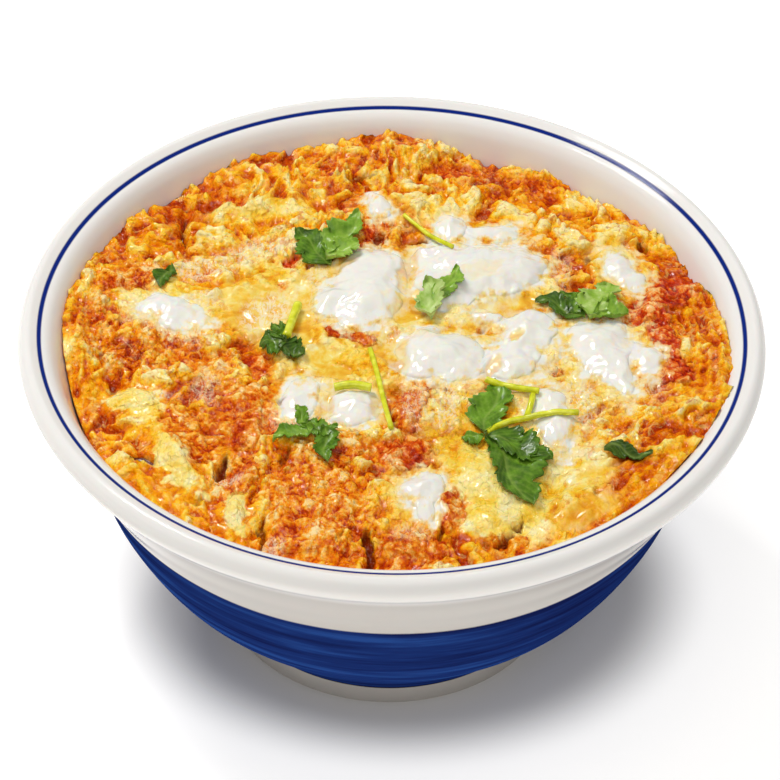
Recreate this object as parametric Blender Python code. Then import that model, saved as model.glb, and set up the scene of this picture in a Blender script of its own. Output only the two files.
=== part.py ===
"""Katsudon in its bowl: simmered pork cutlet slices and soft egg, filled up to the level shown.

Lengths are written in millimetres and become metres when a mesh is made. The origin is at the centre of
the foot ring's underside, +Z is up and -Y is the front, where the cutlet slices end at the wall.
The egg bed is a solid down to the bowl's inside. The slices, egg whites, curds and broth sit in
hollows cut from it, and the leaves and stems lie on top.
"""

import math

import bmesh
import bpy
import numpy as np
from mathutils import Vector, noise
from mathutils.bvhtree import BVHTree

MM = 0.001
CLEARANCE = 0.35
# How far a hollow's cutter reaches up past what lies in it, so that no film of egg is left over it
CUTTER_ROOF = 8.0

# The bowl
RIM_OUTER_RADIUS = 88.0
BOWL_HEIGHT = 86.6
FOOT_RADIUS = 41.7
FOOT_RING_WIDTH = 3.6
INNER_FLOOR = 11.0
BOWL_TURNS = 40
# Turned profile as (radius, height), from the middle of the inside up to the rim's crest
INNER_PROFILE = (
    (0.0, INNER_FLOOR),
    (24.0, 12.0),
    (42.0, 18.0),
    (55.0, 30.0),
    (64.0, 45.0),
    (69.6, 57.0),
    (74.3, 66.4),
    (78.2, 76.0),
    (80.3, 80.6),
    (83.0, 85.0),
    (85.0, BOWL_HEIGHT),
)
# From the crest, round the rolled lip, down the outside
OUTER_PROFILE = (
    (85.0, BOWL_HEIGHT),
    (87.2, 85.5),
    (RIM_OUTER_RADIUS, 83.0),
    (86.6, 80.0),
    (82.0, 77.0),
    (80.5, 74.0),
    (78.3, 66.4),
    (73.4, 56.8),
    (68.9, 43.2),
    (61.4, 29.1),
    (50.8, 16.6),
    (42.5, 6.4),
)
FOOT_PROFILE = (
    (FOOT_RADIUS, 3.2),
    (FOOT_RADIUS, 0.0),
    (FOOT_RADIUS - FOOT_RING_WIDTH, 0.0),
    (FOOT_RADIUS - FOOT_RING_WIDTH - 0.6, 4.0),
    (20.0, 5.0),
    (0.0, 5.0),
)

# The food's broad form: a flat-topped dome that meets the wall at a height that changes round it
DOME_HEIGHT = 80.5
DOME_POWER = 3.5
WALL_RADIUS = 78.5
EDGE_HEIGHT = 75.0
# (azimuth in degrees, half width in degrees, height)
EDGE_RISES = (
    (93, 9, 5.3),
    (156, 13, 1.6),
    (134, 6, -2.4),
    (52, 18, -2.2),
    (-8, 17, 6.0),
    (-90, 60, 1.0),
)
# Lobes, folds and hollows of the egg: (x, y, half length, half width, turn in degrees, height)
EGG_SWELLS = (
    (-62, 43, 11, 7, 40, 2.2),
    (-51, 42, 8, 1.5, 90, -3.0),
    (-40, 57, 10, 6, 30, 1.6),
    (-36, 49, 14, 3, 20, 2.0),
    (-14, 66, 7, 5, 60, 1.8),
    (-5, 59, 8, 2, 20, -2.2),
    (6, 72, 9, 5, 0, 2.0),
    (22, 62, 8, 7, 0, 1.6),
    (38, 64, 7, 6, -40, 1.8),
    (53, 42, 9, 4, 60, 1.8),
    (47, 35, 5, 2, 40, -2.2),
    (76, -2, 18, 3, 90, 1.6),
    (62, -30, 12, 5, 50, 1.8),
    (46, -52, 16, 7, 35, 2.6),
    (37, -47, 14, 2, 65, -2.6),
    (30, -60, 5, 1.5, 50, -3.0),
    (-29, -61, 6, 1.6, 90, -2.4),
    (-37.5, -43, 5, 2, 70, -4.0),
    (-61, -25, 7, 7, 0, 1.8),
    (-58, -41, 8, 4, -30, -3.2),
    (-49, -38, 13, 2.5, -65, 2.2),
    (-72, -10, 20, 1.5, -80, 1.4),
    (-69, -3, 4, 2, 90, -2.6),
    (-65, -14, 3, 1.8, 60, -3.0),
    (-4, 39, 4, 2.5, 90, -3.0),
    (21, 5, 3, 2, 0, -2.4),
    (39, -9, 3, 2.5, 90, -2.6),
)
CURD_SIZE = 7.5
CURD_HEIGHT = 1.9
EGG_SPOKES = 62
EGG_RINGS = 14
RING_SPACING_POWER = 0.9
# Under the large smooth egg whites the bed is calm: (x, y, half length, half width, turn in degrees)
CALM_SPOTS = (
    (20, 26, 15, 12, 0),
    (-8, 22, 15, 12, 0),
    (11, -4, 15, 12, 0),
)
CALM_SHARE = 0.35
# The bed's side follows the bowl's inside with a gap, at these shares of its height
BED_WALL_GAP = 0.6
BED_SIDE_GAP = 0.7
BED_FLOOR_GAP = 0.5
BED_SIDE_START = 1.2
BED_SIDE_SHARES = (0.78, 0.55, 0.34, 0.16)
# Brings Blender's smooth noise to about -1 to 1, and steps far enough to reach another field of it
NOISE_GAIN = 1.6
NOISE_LAYER_STEP = 7.3

# Where the cutlet's crust shows through the egg: (x, y, half length, half width, turn in degrees)
CRUST_SHOWS = (
    (-66, 14, 14, 9, 90),
    (-45, -34, 17, 6.5, -68),
    (-33, -25, 12, 5.5, 85),
    (-33, -52, 8, 5, 90),
    (-17, -54, 20, 11, 90),
    (-12, 3, 6, 4, -20),
    (-5, 42, 6, 5, 90),
    (5, -64, 10, 9, 90),
    (3, -38, 7, 7, 0),
    (4, -23, 7, 5, 90),
    (28, -64, 6, 4, 0),
    (66, 5, 22, 7, 85),
)
CRUST_REACH = 1.15
CRUST_EDGE = 0.4
CRUST_RISE = 1.2
EGG_DROP = 2.2
SLICE_COVER = 4.0
SLICE_FLOOR = 64.5
SLICE_TAPER = 0.93
CRUMB_SIZE = 4.2
CRUMB_HEIGHT = 0.8
SLICE_CELL = 5.2
SLICE_END_NARROWING = 0.35
SLICE_END_POWER = 9
# Each slice: (front end, back end, width)
SLICES = (
    ((-62, -10), (-63, 25), 18),
    ((-42.8, -50), (-50.5, -18), 11),
    ((-32.8, -59), (-33.2, -13), 9.4),
    ((-17.5, -69), (-8, 48), 21),
    ((6, -70), (13, 40), 19),
    ((29, -65), (36, 30), 19),
    ((64, -20), (66, 25), 15),
)

# Egg whites and curds lying in the bed. Each is a patch about its middle, made of round lobes:
# name: (middle, rise, lobes as (dx, dy, half length, half width, turn in degrees))
PATCH_SINK = 1.6
PATCH_SPOKES = 12
PATCH_RINGS = 2
PATCH_DOME_POWER = 2.4
PATCH_FOOT_SHARE = 0.85
PATCH_UNEVENNESS = 0.08
PATCH_LUMP_SIZE = 0.67
LONGEST_REACH = 24.0
REACH_STEP = 0.3
PATCHES = {
    "egg_white_1": ((-7, 19), 2.4, ((0, 0, 15.5, 8, 85), (-6.5, -5, 7, 5.5, 20))),
    "egg_white_2": ((21, 26), 3.0, ((0, 0, 17, 10, 15), (-7, -8, 7, 6, 60), (-9, 5, 8, 5, 20))),
    "egg_white_3": ((11, -4), 3.2, ((0, 0, 10, 8.5, 0), (5, -5.5, 6, 4, 20), (-4, -2, 6, 7, 0))),
    "egg_white_4": ((30, -1), 2.8, ((0, 1, 12, 6.5, 70), (-2.5, -7, 6, 5, 0), (3, 6, 6, 5, 0))),
    "egg_white_5": ((49, -1), 2.6, ((0, 1, 8, 8, 0), (1, -6, 8, 5, 95), (5, -12, 6, 2.4, 97))),
    "egg_white_6": ((60, -5), 2.6, ((0, 0, 6, 3.4, 95),)),
    "egg_white_7": ((22, 9.5), 2.0, ((0, 0, 3.4, 3.0, 0),)),
    "egg_white_8": ((-21, -21), 2.2, ((0, 0, 8.5, 3.8, 80),)),
    "egg_white_9": ((-8, -23), 2.4, ((0, 0, 6, 5.5, 0), (-3, -4, 5, 3, 0))),
    "egg_white_10": ((-52, 8), 2.0, ((0, 0, 8.5, 5.5, -20),)),
    "egg_white_11": ((38, -26), 2.4, ((0, 0, 10, 4.5, 100), (-1.5, 6, 4.5, 3.5, 60))),
    "egg_white_12": ((7.5, -50), 2.4, ((0, 0, 7, 5.4, 80), (1, -6, 4, 2.4, 100))),
    "egg_white_13": ((56, 28), 2.0, ((0, 0, 8.5, 4, 110),)),
    "egg_white_14": ((13, 42.6), 3.0, ((0, 0, 5, 4, 80),)),
    "egg_white_15": ((25, 41.8), 2.2, ((0, 0, 7, 3.6, 5),)),
    "egg_white_16": ((-4, 50), 2.2, ((0, 0, 4.5, 2.8, 110),)),
    "egg_curd_1": ((21, -43), 2.0, ((0, 0, 8, 6, -40), (3, -6, 5, 4, 0))),
    "egg_curd_2": ((23.5, -58), 2.2, ((0, 0, 6.5, 4.2, 15),)),
    "egg_curd_3": ((-34, -57), 2.6, ((0, 0, 5.5, 3.2, 100),)),
    "egg_curd_4": ((-60, -19.5), 2.0, ((0, 0, 6.5, 3, -10),)),
    "egg_curd_5": ((-49.5, -41.5), 3.0, ((0, 0, 9, 2.2, -65),)),
    "egg_curd_6": ((33.5, -52), 2.2, ((0, 0, 6.5, 3.0, 85),)),
}

# The broth that shows as a pool by the wall: (x, y, half length, half width, turn), and its level
BROTH_POOL = (-57.5, -41.5, 5.5, 3.0, -35)
BROTH_LEVEL = 76.0
BROTH_DEPTH = 4.0
BROTH_FLOOR_SHARE = 0.7

# Leaflets: name: (middle, length, width, heading in degrees, cross fold, bend along the rib)
LEAF_THICKNESS = 0.5
LEAF_TEETH = 5
LEAF_TOOTH_DEPTH = 0.16
LEAF_STALK_WIDTH = 0.05
LEAF_WAVE = 0.3
LEAF_GROUND_REACH = 1.1
LEAF_LENGTH_STEPS = 10
LEAF_WIDTH_STEPS = 2
LEAVES = {
    "mitsuba_leaf_1": ((-16, 39), 22, 14, 75, 0.6, 1.0),
    "mitsuba_leaf_2": ((9.8, 17), 17, 8, 62, 1.2, 0.6),
    "mitsuba_leaf_3": ((-26, -1), 13, 9.5, 80, 1.2, 0.8),
    "mitsuba_leaf_4": ((-19, -32), 18, 8, -30, 1.0, 1.0),
    "mitsuba_leaf_5": ((39, 15), 12, 8, 155, 0.8, 0.6),
    "mitsuba_leaf_6": ((50.5, 17), 14, 11, 80, 1.6, 0.8),
    "mitsuba_leaf_7": ((22.3, -20.8), 16, 9, 80, 0.8, 0.8),
    "mitsuba_leaf_8": ((28.5, -39.5), 23, 13, -64, 0.8, 1.2),
    "mitsuba_leaf_9": ((18.4, -33.2), 5.5, 4, -140, 0.3, 0.4),
    "mitsuba_leaf_10": ((-55.5, 22.5), 9, 4.5, -50, 0.6, 0.4),
    "mitsuba_leaf_11": ((54, -38.5), 11, 3, -5, 0.5, 0.4),
}

# Cut stems: name: (diameter, points along it as (x, y))
STEM_SIDES_RESOLUTION = 1
STEM_STEPS = 4
STEM_LIFT = 0.1
STEM_EASE_POINTS = 5
STEM_GROUND_REACH = 0.8
STEMS = {
    "stem_1": (1.3, ((3, 46), (8, 40), (14.2, 33.5))),
    "stem_2": (2.2, ((-22.6, 14.5), (-23.8, 10.5), (-24.6, 7))),
    "stem_3": (1.2, ((-5.4, -2.5), (-2.5, -14), (-0.5, -29))),
    "stem_4": (2.2, ((-13.4, -17.4), (-9, -16.8), (-4.8, -16.9))),
    "stem_5": (1.7, ((27.6, -15.8), (31, -16.6), (34.5, -17.2))),
    "stem_6": (1.4, ((24, -28.4), (31, -24.2), (43, -23.2))),
    "stem_7": (1.4, ((33.0, -18.8), (32.2, -20.6), (31.6, -22.2))),
}


def material(name, hex_colour, roughness):
    """A Principled material of one sRGB colour."""
    found = bpy.data.materials.new(name)
    found.use_nodes = True
    channels = [int(hex_colour[i : i + 2], 16) / 255 for i in (0, 2, 4)]
    linear = [c / 12.92 if c <= 0.04045 else ((c + 0.055) / 1.055) ** 2.4 for c in channels]
    shader = found.node_tree.nodes["Principled BSDF"]
    shader.inputs["Base Color"].default_value = (*linear, 1.0)
    shader.inputs["Roughness"].default_value = roughness
    found.diffuse_color = (*linear, 1.0)
    return found


def add_mesh(name, points, faces, finish):
    """An object from points in millimetres, with its faces turned outwards."""
    mesh = bpy.data.meshes.new(name)
    mesh.from_pydata((np.asarray(points) * MM).tolist(), [], faces)
    shell = bmesh.new()
    shell.from_mesh(mesh)
    bmesh.ops.recalc_face_normals(shell, faces=shell.faces)
    shell.to_mesh(mesh)
    shell.free()
    mesh.shade_smooth()
    mesh.materials.append(finish)
    piece = bpy.data.objects.new(name, mesh)
    bpy.context.scene.collection.objects.link(piece)
    return piece


def grain(x, y, size, layer):
    """Smooth noise, about -1 to 1, whose lumps are near `size` across. `layer` picks another field."""
    flat = zip(np.ravel(x) / size, np.ravel(y) / size)
    values = [noise.noise(Vector((u, v, NOISE_LAYER_STEP * layer))) for u, v in flat]
    return np.reshape(values, np.shape(x)) * NOISE_GAIN


def turned(degrees):
    """The cosine and sine of an angle."""
    return math.cos(math.radians(degrees)), math.sin(math.radians(degrees))


def oval(x, y, spot):
    """How far a point is from an oval's middle, as a share of the oval's reach that way."""
    middle_x, middle_y, half_length, half_width, turn = spot
    c, s = turned(turn)
    dx, dy = x - middle_x, y - middle_y
    return np.hypot((c * dx + s * dy) / half_length, (c * dy - s * dx) / half_width)


def smooth_step(value):
    """0 below 0, 1 above 1, and a smooth rise between."""
    value = np.clip(value, 0, 1)
    return value * value * (3 - 2 * value)


def food_height(x, y):
    """The food's broad form: the dome, its uneven edge, and the egg's lobes and hollows."""
    azimuth = np.degrees(np.arctan2(y, x))
    edge = EDGE_HEIGHT
    for centre, width, rise in EDGE_RISES:
        away = (azimuth - centre + 180) % 360 - 180
        edge = edge + rise * np.exp(-((away / width) ** 2))
    reach = np.clip(np.hypot(x, y) / WALL_RADIUS, 0, 1)
    height = edge + (DOME_HEIGHT - edge) * (1 - reach**DOME_POWER)
    for *spot, rise in EGG_SWELLS:
        height = height + rise * np.exp(-(oval(x, y, spot) ** 2))
    return height


def crust_shown(x, y):
    """1 where the crust stands out of the egg, 0 where the egg covers it."""
    nearest = np.min([oval(x, y, spot) for spot in CRUST_SHOWS], axis=0)
    return smooth_step((CRUST_REACH - nearest) / CRUST_EDGE)


def egg_height(x, y):
    """The egg's surface: the broad form with curds, lower round the crust that shows."""
    away = np.min([oval(x, y, spot) for spot in CALM_SPOTS], axis=0)
    lively = CALM_SHARE + (1 - CALM_SHARE) * smooth_step(away - 0.5)
    curds = CURD_HEIGHT * lively * grain(x, y, CURD_SIZE, 1)
    return food_height(x, y) + curds - EGG_DROP * crust_shown(x, y)


def slice_height(x, y):
    """A slice's top: crumbed and proud where it shows, and well under the egg elsewhere."""
    shown = crust_shown(x, y)
    crumbs = CRUMB_HEIGHT * grain(x, y, CRUMB_SIZE, 2)
    return food_height(x, y) + CRUST_RISE - (SLICE_COVER + CRUST_RISE) * (1 - shown) + crumbs * shown


def smooth_profile(points, steps):
    """A Catmull-Rom curve through the points, with `steps` parts between each two."""
    points = np.asarray(points, float)
    ends = np.vstack([2 * points[0] - points[1], points, 2 * points[-1] - points[-2]])
    t = np.linspace(0, 1, steps, endpoint=False)[:, None]
    parts = []
    for a, b, c, d in zip(ends, ends[1:], ends[2:], ends[3:]):
        cubic = 3 * (b - c) + d - a
        square = 2 * a - 5 * b + 4 * c - d
        parts.append(b + 0.5 * t * (c - a + t * (square + t * cubic)))
    return np.vstack([*parts, points[-1:]])


def add_bowl(finish):
    """The bowl, turned about Z: its profile runs up the inside, round the lip and down to the foot."""
    lip = smooth_profile(OUTER_PROFILE[:5], 2)
    profile = np.vstack([INNER_PROFILE[:-1], lip, OUTER_PROFILE[5:], FOOT_PROFILE])
    mesh = bpy.data.meshes.new("bowl")
    points = [(radius * MM, 0.0, height * MM) for radius, height in profile]
    mesh.from_pydata(points, [(i, i + 1) for i in range(len(points) - 1)], [])
    mesh.materials.append(finish)
    bowl = bpy.data.objects.new("bowl", mesh)
    bpy.context.scene.collection.objects.link(bowl)
    turning = bowl.modifiers.new("Turned", "SCREW")
    turning.steps = turning.render_steps = BOWL_TURNS
    turning.use_merge_vertices = True
    turning.merge_threshold = 0.00005
    turning.use_smooth_shade = True
    return bowl


def inner_radius(height):
    """The bowl's inner radius at a height."""
    radii, heights = np.transpose(INNER_PROFILE)
    return np.interp(height, heights, radii)


def whole_numbers(faces):
    """Faces with plain Python indices, as a mesh takes them."""
    return [tuple(int(corner) for corner in face) for face in faces]


def grid_faces(index):
    """Two triangles for each cell of a grid of point numbers."""
    a, b = index[:-1, :-1].ravel(), index[1:, :-1].ravel()
    c, d = index[1:, 1:].ravel(), index[:-1, 1:].ravel()
    return [*zip(a, b, c), *zip(a, c, d)]


def grid_edge(index):
    """The point numbers round a grid's border, and each one's next."""
    edge = [*index[:-1, 0], *index[-1, :-1], *index[:0:-1, -1], *index[0, :0:-1]]
    return edge, edge[1:] + edge[:1]


def closed_column(rings):
    """Points and faces of a body made of rings of as many points each, from its top middle, one point,
    out and down to its bottom middle, one point."""
    count = len(rings[1])
    points, starts = [], []
    for ring in rings:
        starts.append(len(points))
        points.extend(ring)
    step = np.arange(count)
    after = (step + 1) % count
    faces = [(0, starts[1] + i, starts[1] + j) for i, j in zip(step, after)]
    for a, b in zip(starts[1:-2], starts[2:-1]):
        faces += [(a + i, b + i, b + j) for i, j in zip(step, after)]
        faces += [(a + i, b + j, a + j) for i, j in zip(step, after)]
    faces += [(starts[-1], starts[-2] + j, starts[-2] + i) for i, j in zip(step, after)]
    return points, whole_numbers(faces)


def spokes(count):
    """Unit directions evenly round a circle."""
    angles = np.arange(count) * 2 * math.pi / count
    return np.stack([np.cos(angles), np.sin(angles)], 1)


def add_egg_bed(finish):
    """The egg bed: curds on top, and the bowl's inner form below."""
    unit = spokes(EGG_SPOKES)
    rim_height = egg_height(*(WALL_RADIUS * unit.T))
    wall = inner_radius(rim_height) - BED_WALL_GAP
    top = [[(0.0, 0.0, float(egg_height(np.array(0.0), np.array(0.0))))]]
    for share in np.linspace(0, 1, EGG_RINGS + 1)[1:] ** RING_SPACING_POWER:
        flat = unit * (share * wall)[:, None]
        top.append(np.column_stack([flat, egg_height(*flat.T)]).tolist())
    top[-1] = np.column_stack([unit * wall[:, None], rim_height]).tolist()
    side = []
    for share in BED_SIDE_SHARES:
        level = INNER_FLOOR + BED_SIDE_START + share * (rim_height - INNER_FLOOR)
        radius = inner_radius(level) - BED_SIDE_GAP
        side.append(np.column_stack([unit * radius[:, None], level]).tolist())
    points, faces = closed_column([*top, *side, [(0.0, 0.0, INNER_FLOOR + BED_FLOOR_GAP)]])
    return add_mesh("egg_bed", points, faces, finish)


def slice_body(front, back, width):
    """Points and faces of one slice.

    The outline is a strip with rounded ends. The bottom is the same outline drawn in towards the
    bowl's axis, as the wall slopes.
    """
    front, back = np.array(front, float), np.array(back, float)
    along = back - front
    length = np.linalg.norm(along)
    along /= length
    across = np.array([along[1], -along[0]])
    rows, columns = round(length / SLICE_CELL), round(width / SLICE_CELL)
    u, v = np.meshgrid(np.linspace(-1, 1, rows + 1), np.linspace(-1, 1, columns + 1), indexing="ij")
    u, v = u[..., None], v[..., None]
    half_width = width / 2 * (1 - SLICE_END_NARROWING * np.abs(u) ** SLICE_END_POWER)
    flat = (front + back) / 2 + u * length / 2 * along + v * half_width * across
    top = np.dstack([flat, slice_height(flat[..., 0], flat[..., 1])])
    bottom = np.dstack([flat * SLICE_TAPER, np.full_like(u, SLICE_FLOOR)])
    count = (rows + 1) * (columns + 1)
    index = np.arange(count).reshape(rows + 1, columns + 1)
    faces = grid_faces(index)
    edge, following = grid_edge(index)
    lower = {old: count + new for new, old in enumerate(edge)}
    middle = count + len(edge)
    for i, j in zip(edge, following):
        faces += [(i, lower[i], lower[j]), (i, lower[j], j), (lower[i], middle, lower[j])]
    rim = bottom.reshape(-1, 3)[edge]
    points = np.vstack([top.reshape(-1, 3), rim, rim.mean(axis=0)])
    return points, whole_numbers(faces)


def patch_body(middle, rise, lobes, grow, layer):
    """Points and faces of an egg patch, or of the hollow that holds it when `grow` is its clearance.

    Its outline is the outermost reach of its lobes, gently uneven, and its top is a low dome.
    """
    unit = spokes(PATCH_SPOKES)
    reach = np.zeros(PATCH_SPOKES)
    for distance in np.arange(REACH_STEP, LONGEST_REACH, REACH_STEP):
        spot = unit * distance
        inside = np.min([oval(*spot.T, lobe) for lobe in lobes], axis=0) < 1
        reach = np.where(inside, distance, reach)
    reach = reach * (1 + PATCH_UNEVENNESS * grain(*unit.T, PATCH_LUMP_SIZE, layer)) + grow
    middle = np.array(middle, float)

    def ring(share, offset):
        flat = middle + unit * (share * reach)[:, None]
        return np.column_stack([flat, food_height(*flat.T) + offset]).tolist()

    def dome(share):
        return rise * (1 - share**PATCH_DOME_POWER)

    crown = float(food_height(*middle))
    depth = PATCH_SINK + grow
    under = [ring(PATCH_FOOT_SHARE, -depth), [(*middle, crown - depth)]]
    if grow:
        return closed_column([[(*middle, crown + CUTTER_ROOF)], ring(1, CUTTER_ROOF), ring(1, 0), *under])
    shares = np.linspace(0, 1, PATCH_RINGS + 1)[1:]
    top = [ring(share, dome(share)) for share in shares]
    return closed_column([[(*middle, crown + rise)], *top, *under])


def broth_body(grow):
    """Points and faces of the broth pool: flat on top, an oval bowl of liquid below."""
    middle_x, middle_y, half_length, half_width, turn = BROTH_POOL
    c, s = turned(turn)
    along, across = (spokes(PATCH_SPOKES) * (half_length + grow, half_width + grow)).T
    flat = np.stack([c * along - s * across, s * along + c * across], 1)
    middle = np.array([middle_x, middle_y])

    def ring(share, height):
        return np.column_stack([middle + flat * share, np.full(PATCH_SPOKES, height)]).tolist()

    deep = BROTH_LEVEL - BROTH_DEPTH - grow
    under = [ring(1, BROTH_LEVEL), ring(BROTH_FLOOR_SHARE, deep), [(*middle, deep)]]
    if grow:
        roof = BROTH_LEVEL + CUTTER_ROOF
        return closed_column([[(*middle, roof)], ring(1, roof), *under])
    return closed_column([[(*middle, BROTH_LEVEL)], *under])


def loose_copy(piece):
    """A copy of a piece swollen along its normals, which cuts a loose hollow for it."""
    copy = bpy.data.objects.new("hollow", piece.data)
    bpy.context.scene.collection.objects.link(copy)
    swell = copy.modifiers.new("Swollen", "DISPLACE")
    swell.mid_level = 0.0
    swell.strength = 2 * CLEARANCE * MM
    return copy


def cut(piece, cutters):
    """Cuts each hollow out of the piece and applies the result."""
    bpy.context.view_layer.update()
    for cutter in cutters:
        hollow = piece.modifiers.new(cutter.name, "BOOLEAN")
        hollow.operation = "DIFFERENCE"
        hollow.object = cutter
        hollow.solver = "MANIFOLD"
    graph = bpy.context.evaluated_depsgraph_get()
    result = bpy.data.meshes.new_from_object(piece.evaluated_get(graph))
    piece.modifiers.clear()
    piece.data = result


class Ground:
    """The finished surface that leaves and stems lie on, read from the pieces' own meshes."""

    def __init__(self, pieces):
        graph = bpy.context.evaluated_depsgraph_get()
        self.trees = [BVHTree.FromObject(piece, graph) for piece in pieces]

    def height(self, x, y, reach):
        """The highest point within `reach` of a place, all in millimetres."""
        found = [0.0]
        ways = [(0, 0), *((math.cos(a), math.sin(a)) for a in np.arange(8) * math.pi / 4)]
        for dx, dy in ways:
            start = Vector(((x + dx * reach) * MM, (y + dy * reach) * MM, 2 * BOWL_HEIGHT * MM))
            for tree in self.trees:
                hit = tree.ray_cast(start, Vector((0, 0, -1)))[0]
                if hit is not None:
                    found.append(hit.z / MM)
        return max(found)


def leaf_outline(share):
    """Half width along a leaflet, from 0 at its stalk to 1 at its tip, as a share of the widest."""
    full = np.sin(math.pi * np.clip(share, 0, 1) ** 0.72) ** 0.8
    teeth = 1 - LEAF_TOOTH_DEPTH * np.abs(np.sin(math.pi * LEAF_TEETH * share))
    return LEAF_STALK_WIDTH + (1 - LEAF_STALK_WIDTH) * full * teeth


def add_leaf(name, leaf, ground, finish):
    """A leaflet: a thin wavy solid with a folded rib, both faces split into triangles alike."""
    middle, length, width, heading, fold, bend = leaf
    c, s = turned(heading)
    shares = np.linspace(0, 1, LEAF_LENGTH_STEPS + 1)
    sides = np.linspace(-1, 1, LEAF_WIDTH_STEPS + 1)
    share, side = np.meshgrid(shares, sides, indexing="ij")
    along = (share - 0.5) * length
    across = side * leaf_outline(share) * width / 2
    x = middle[0] + c * along - s * across
    y = middle[1] + s * along + c * across
    rest = [ground.height(px, py, LEAF_GROUND_REACH) for px, py in zip(x.ravel(), y.ravel())]
    wave = LEAF_WAVE * (1 + np.sin(7 * share + 3 * side))
    lift = fold * np.abs(side) + bend * (2 * share - 1) ** 2 + wave
    z = np.reshape(rest, x.shape) + CLEARANCE + lift
    low = np.dstack([x, y, z]).reshape(-1, 3)
    high = low + (0, 0, LEAF_THICKNESS)
    count = len(low)
    index = np.arange(count).reshape(x.shape)
    faces = [face[::-1] for face in grid_faces(index)] + grid_faces(index + count)
    for i, j in zip(*grid_edge(index)):
        faces += [(i, j, j + count), (i, j + count, i + count)]
    return add_mesh(name, np.vstack([low, high]), whole_numbers(faces), finish)


def add_stem(name, stem, ground, finish):
    """A cut stem: a round bead of even thickness that follows what it lies on."""
    diameter, route = stem
    flat = smooth_profile(route, STEM_STEPS)
    rest = [ground.height(x, y, STEM_GROUND_REACH * diameter) for x, y in flat]
    height = np.array(rest) + diameter / 2 + CLEARANCE + STEM_LIFT
    padded = np.pad(height, STEM_EASE_POINTS // 2, mode="edge")
    eased = np.convolve(padded, np.ones(STEM_EASE_POINTS) / STEM_EASE_POINTS, mode="valid")
    curve = bpy.data.curves.new(name, "CURVE")
    curve.dimensions = "3D"
    curve.bevel_depth = diameter / 2 * MM
    curve.bevel_resolution = STEM_SIDES_RESOLUTION
    curve.use_fill_caps = True
    curve.materials.append(finish)
    line = curve.splines.new("POLY")
    line.points.add(len(flat) - 1)
    for point, (x, y), z in zip(line.points, flat, np.maximum(eased, height)):
        point.co = (x * MM, y * MM, z * MM, 1.0)
    piece = bpy.data.objects.new(name, curve)
    bpy.context.scene.collection.objects.link(piece)
    return piece


def main():
    for leftover in list(bpy.data.objects):
        bpy.data.objects.remove(leftover)
    glaze = material("glazed_ceramic", "E9E6E1", 0.12)
    soft_egg = material("soft_set_egg", "EFA02C", 0.4)
    crust = material("simmered_crumb_crust", "A8481A", 0.5)
    white = material("cooked_egg_white", "F4EFE4", 0.3)
    curd = material("pale_egg_curd", "F6DC86", 0.35)
    broth = material("dashi_broth", "9A4A12", 0.08)
    leaf = material("mitsuba_leaf", "3F7D28", 0.45)
    stalk = material("mitsuba_stem", "B9CC22", 0.4)

    add_bowl(glaze)
    bed = add_egg_bed(soft_egg)
    slices, hollows, patches, patch_hollows = [], [], [], []
    for number, shape in enumerate(SLICES, start=1):
        slices.append(add_mesh(f"cutlet_slice_{number}", *slice_body(*shape), crust))
        hollows.append(loose_copy(slices[-1]))
    for layer, (name, (middle, rise, lobes)) in enumerate(PATCHES.items()):
        finish = white if "white" in name else curd
        patches.append(add_mesh(name, *patch_body(middle, rise, lobes, 0, layer), finish))
        hollow = patch_body(middle, rise, lobes, CLEARANCE, layer)
        patch_hollows.append(add_mesh(f"hollow_{name}", *hollow, finish))
    add_mesh("broth", *broth_body(0), broth)
    hollows += [*patch_hollows, add_mesh("hollow_broth", *broth_body(CLEARANCE), broth)]
    cut(bed, hollows)
    for piece in slices:
        cut(piece, patch_hollows)
    for hollow in hollows:
        bpy.data.objects.remove(hollow)

    ground = Ground([bed, *slices, *patches])
    for name, shape in LEAVES.items():
        add_leaf(name, shape, ground, leaf)
    bpy.context.view_layer.update()
    for name, shape in STEMS.items():
        add_stem(name, shape, ground, stalk)


main()
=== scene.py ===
# %% [markdown]
# # A bowl of katsudon
#
# Katsudon is a bowl of rice under slices of breaded pork, simmered with soft egg and topped with mitsuba
# leaves. Here it is dressed for a picture: the imported model gives every piece its place and size, and each
# cell below makes one piece or one finish. The imported model comes first.

# %% The imported model, and its box
import math
from functools import partial

import bpy
import numpy as np
from mathutils import Matrix, Vector


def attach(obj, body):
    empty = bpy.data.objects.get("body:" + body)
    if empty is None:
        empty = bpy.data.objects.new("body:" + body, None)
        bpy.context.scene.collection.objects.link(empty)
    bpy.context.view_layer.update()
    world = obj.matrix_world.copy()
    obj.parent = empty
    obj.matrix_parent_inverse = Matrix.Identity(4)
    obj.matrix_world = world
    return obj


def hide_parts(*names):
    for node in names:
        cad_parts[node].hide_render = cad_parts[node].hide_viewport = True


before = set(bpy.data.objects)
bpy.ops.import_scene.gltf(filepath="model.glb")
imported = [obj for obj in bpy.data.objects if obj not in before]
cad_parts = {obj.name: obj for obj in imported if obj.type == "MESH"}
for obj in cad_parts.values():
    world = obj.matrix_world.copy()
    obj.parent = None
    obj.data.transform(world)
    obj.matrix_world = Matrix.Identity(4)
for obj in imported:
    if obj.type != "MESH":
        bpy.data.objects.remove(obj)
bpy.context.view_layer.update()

MM = 0.001

# %% [markdown]
# ## Meshes from arrays
#
# Every surface below is worked out as whole arrays in millimetres, seen from above as x and y with a
# height for each place. One helper turns such arrays into a mesh in metres, hands each vertex the numbers
# that its material will read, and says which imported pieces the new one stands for.

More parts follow.
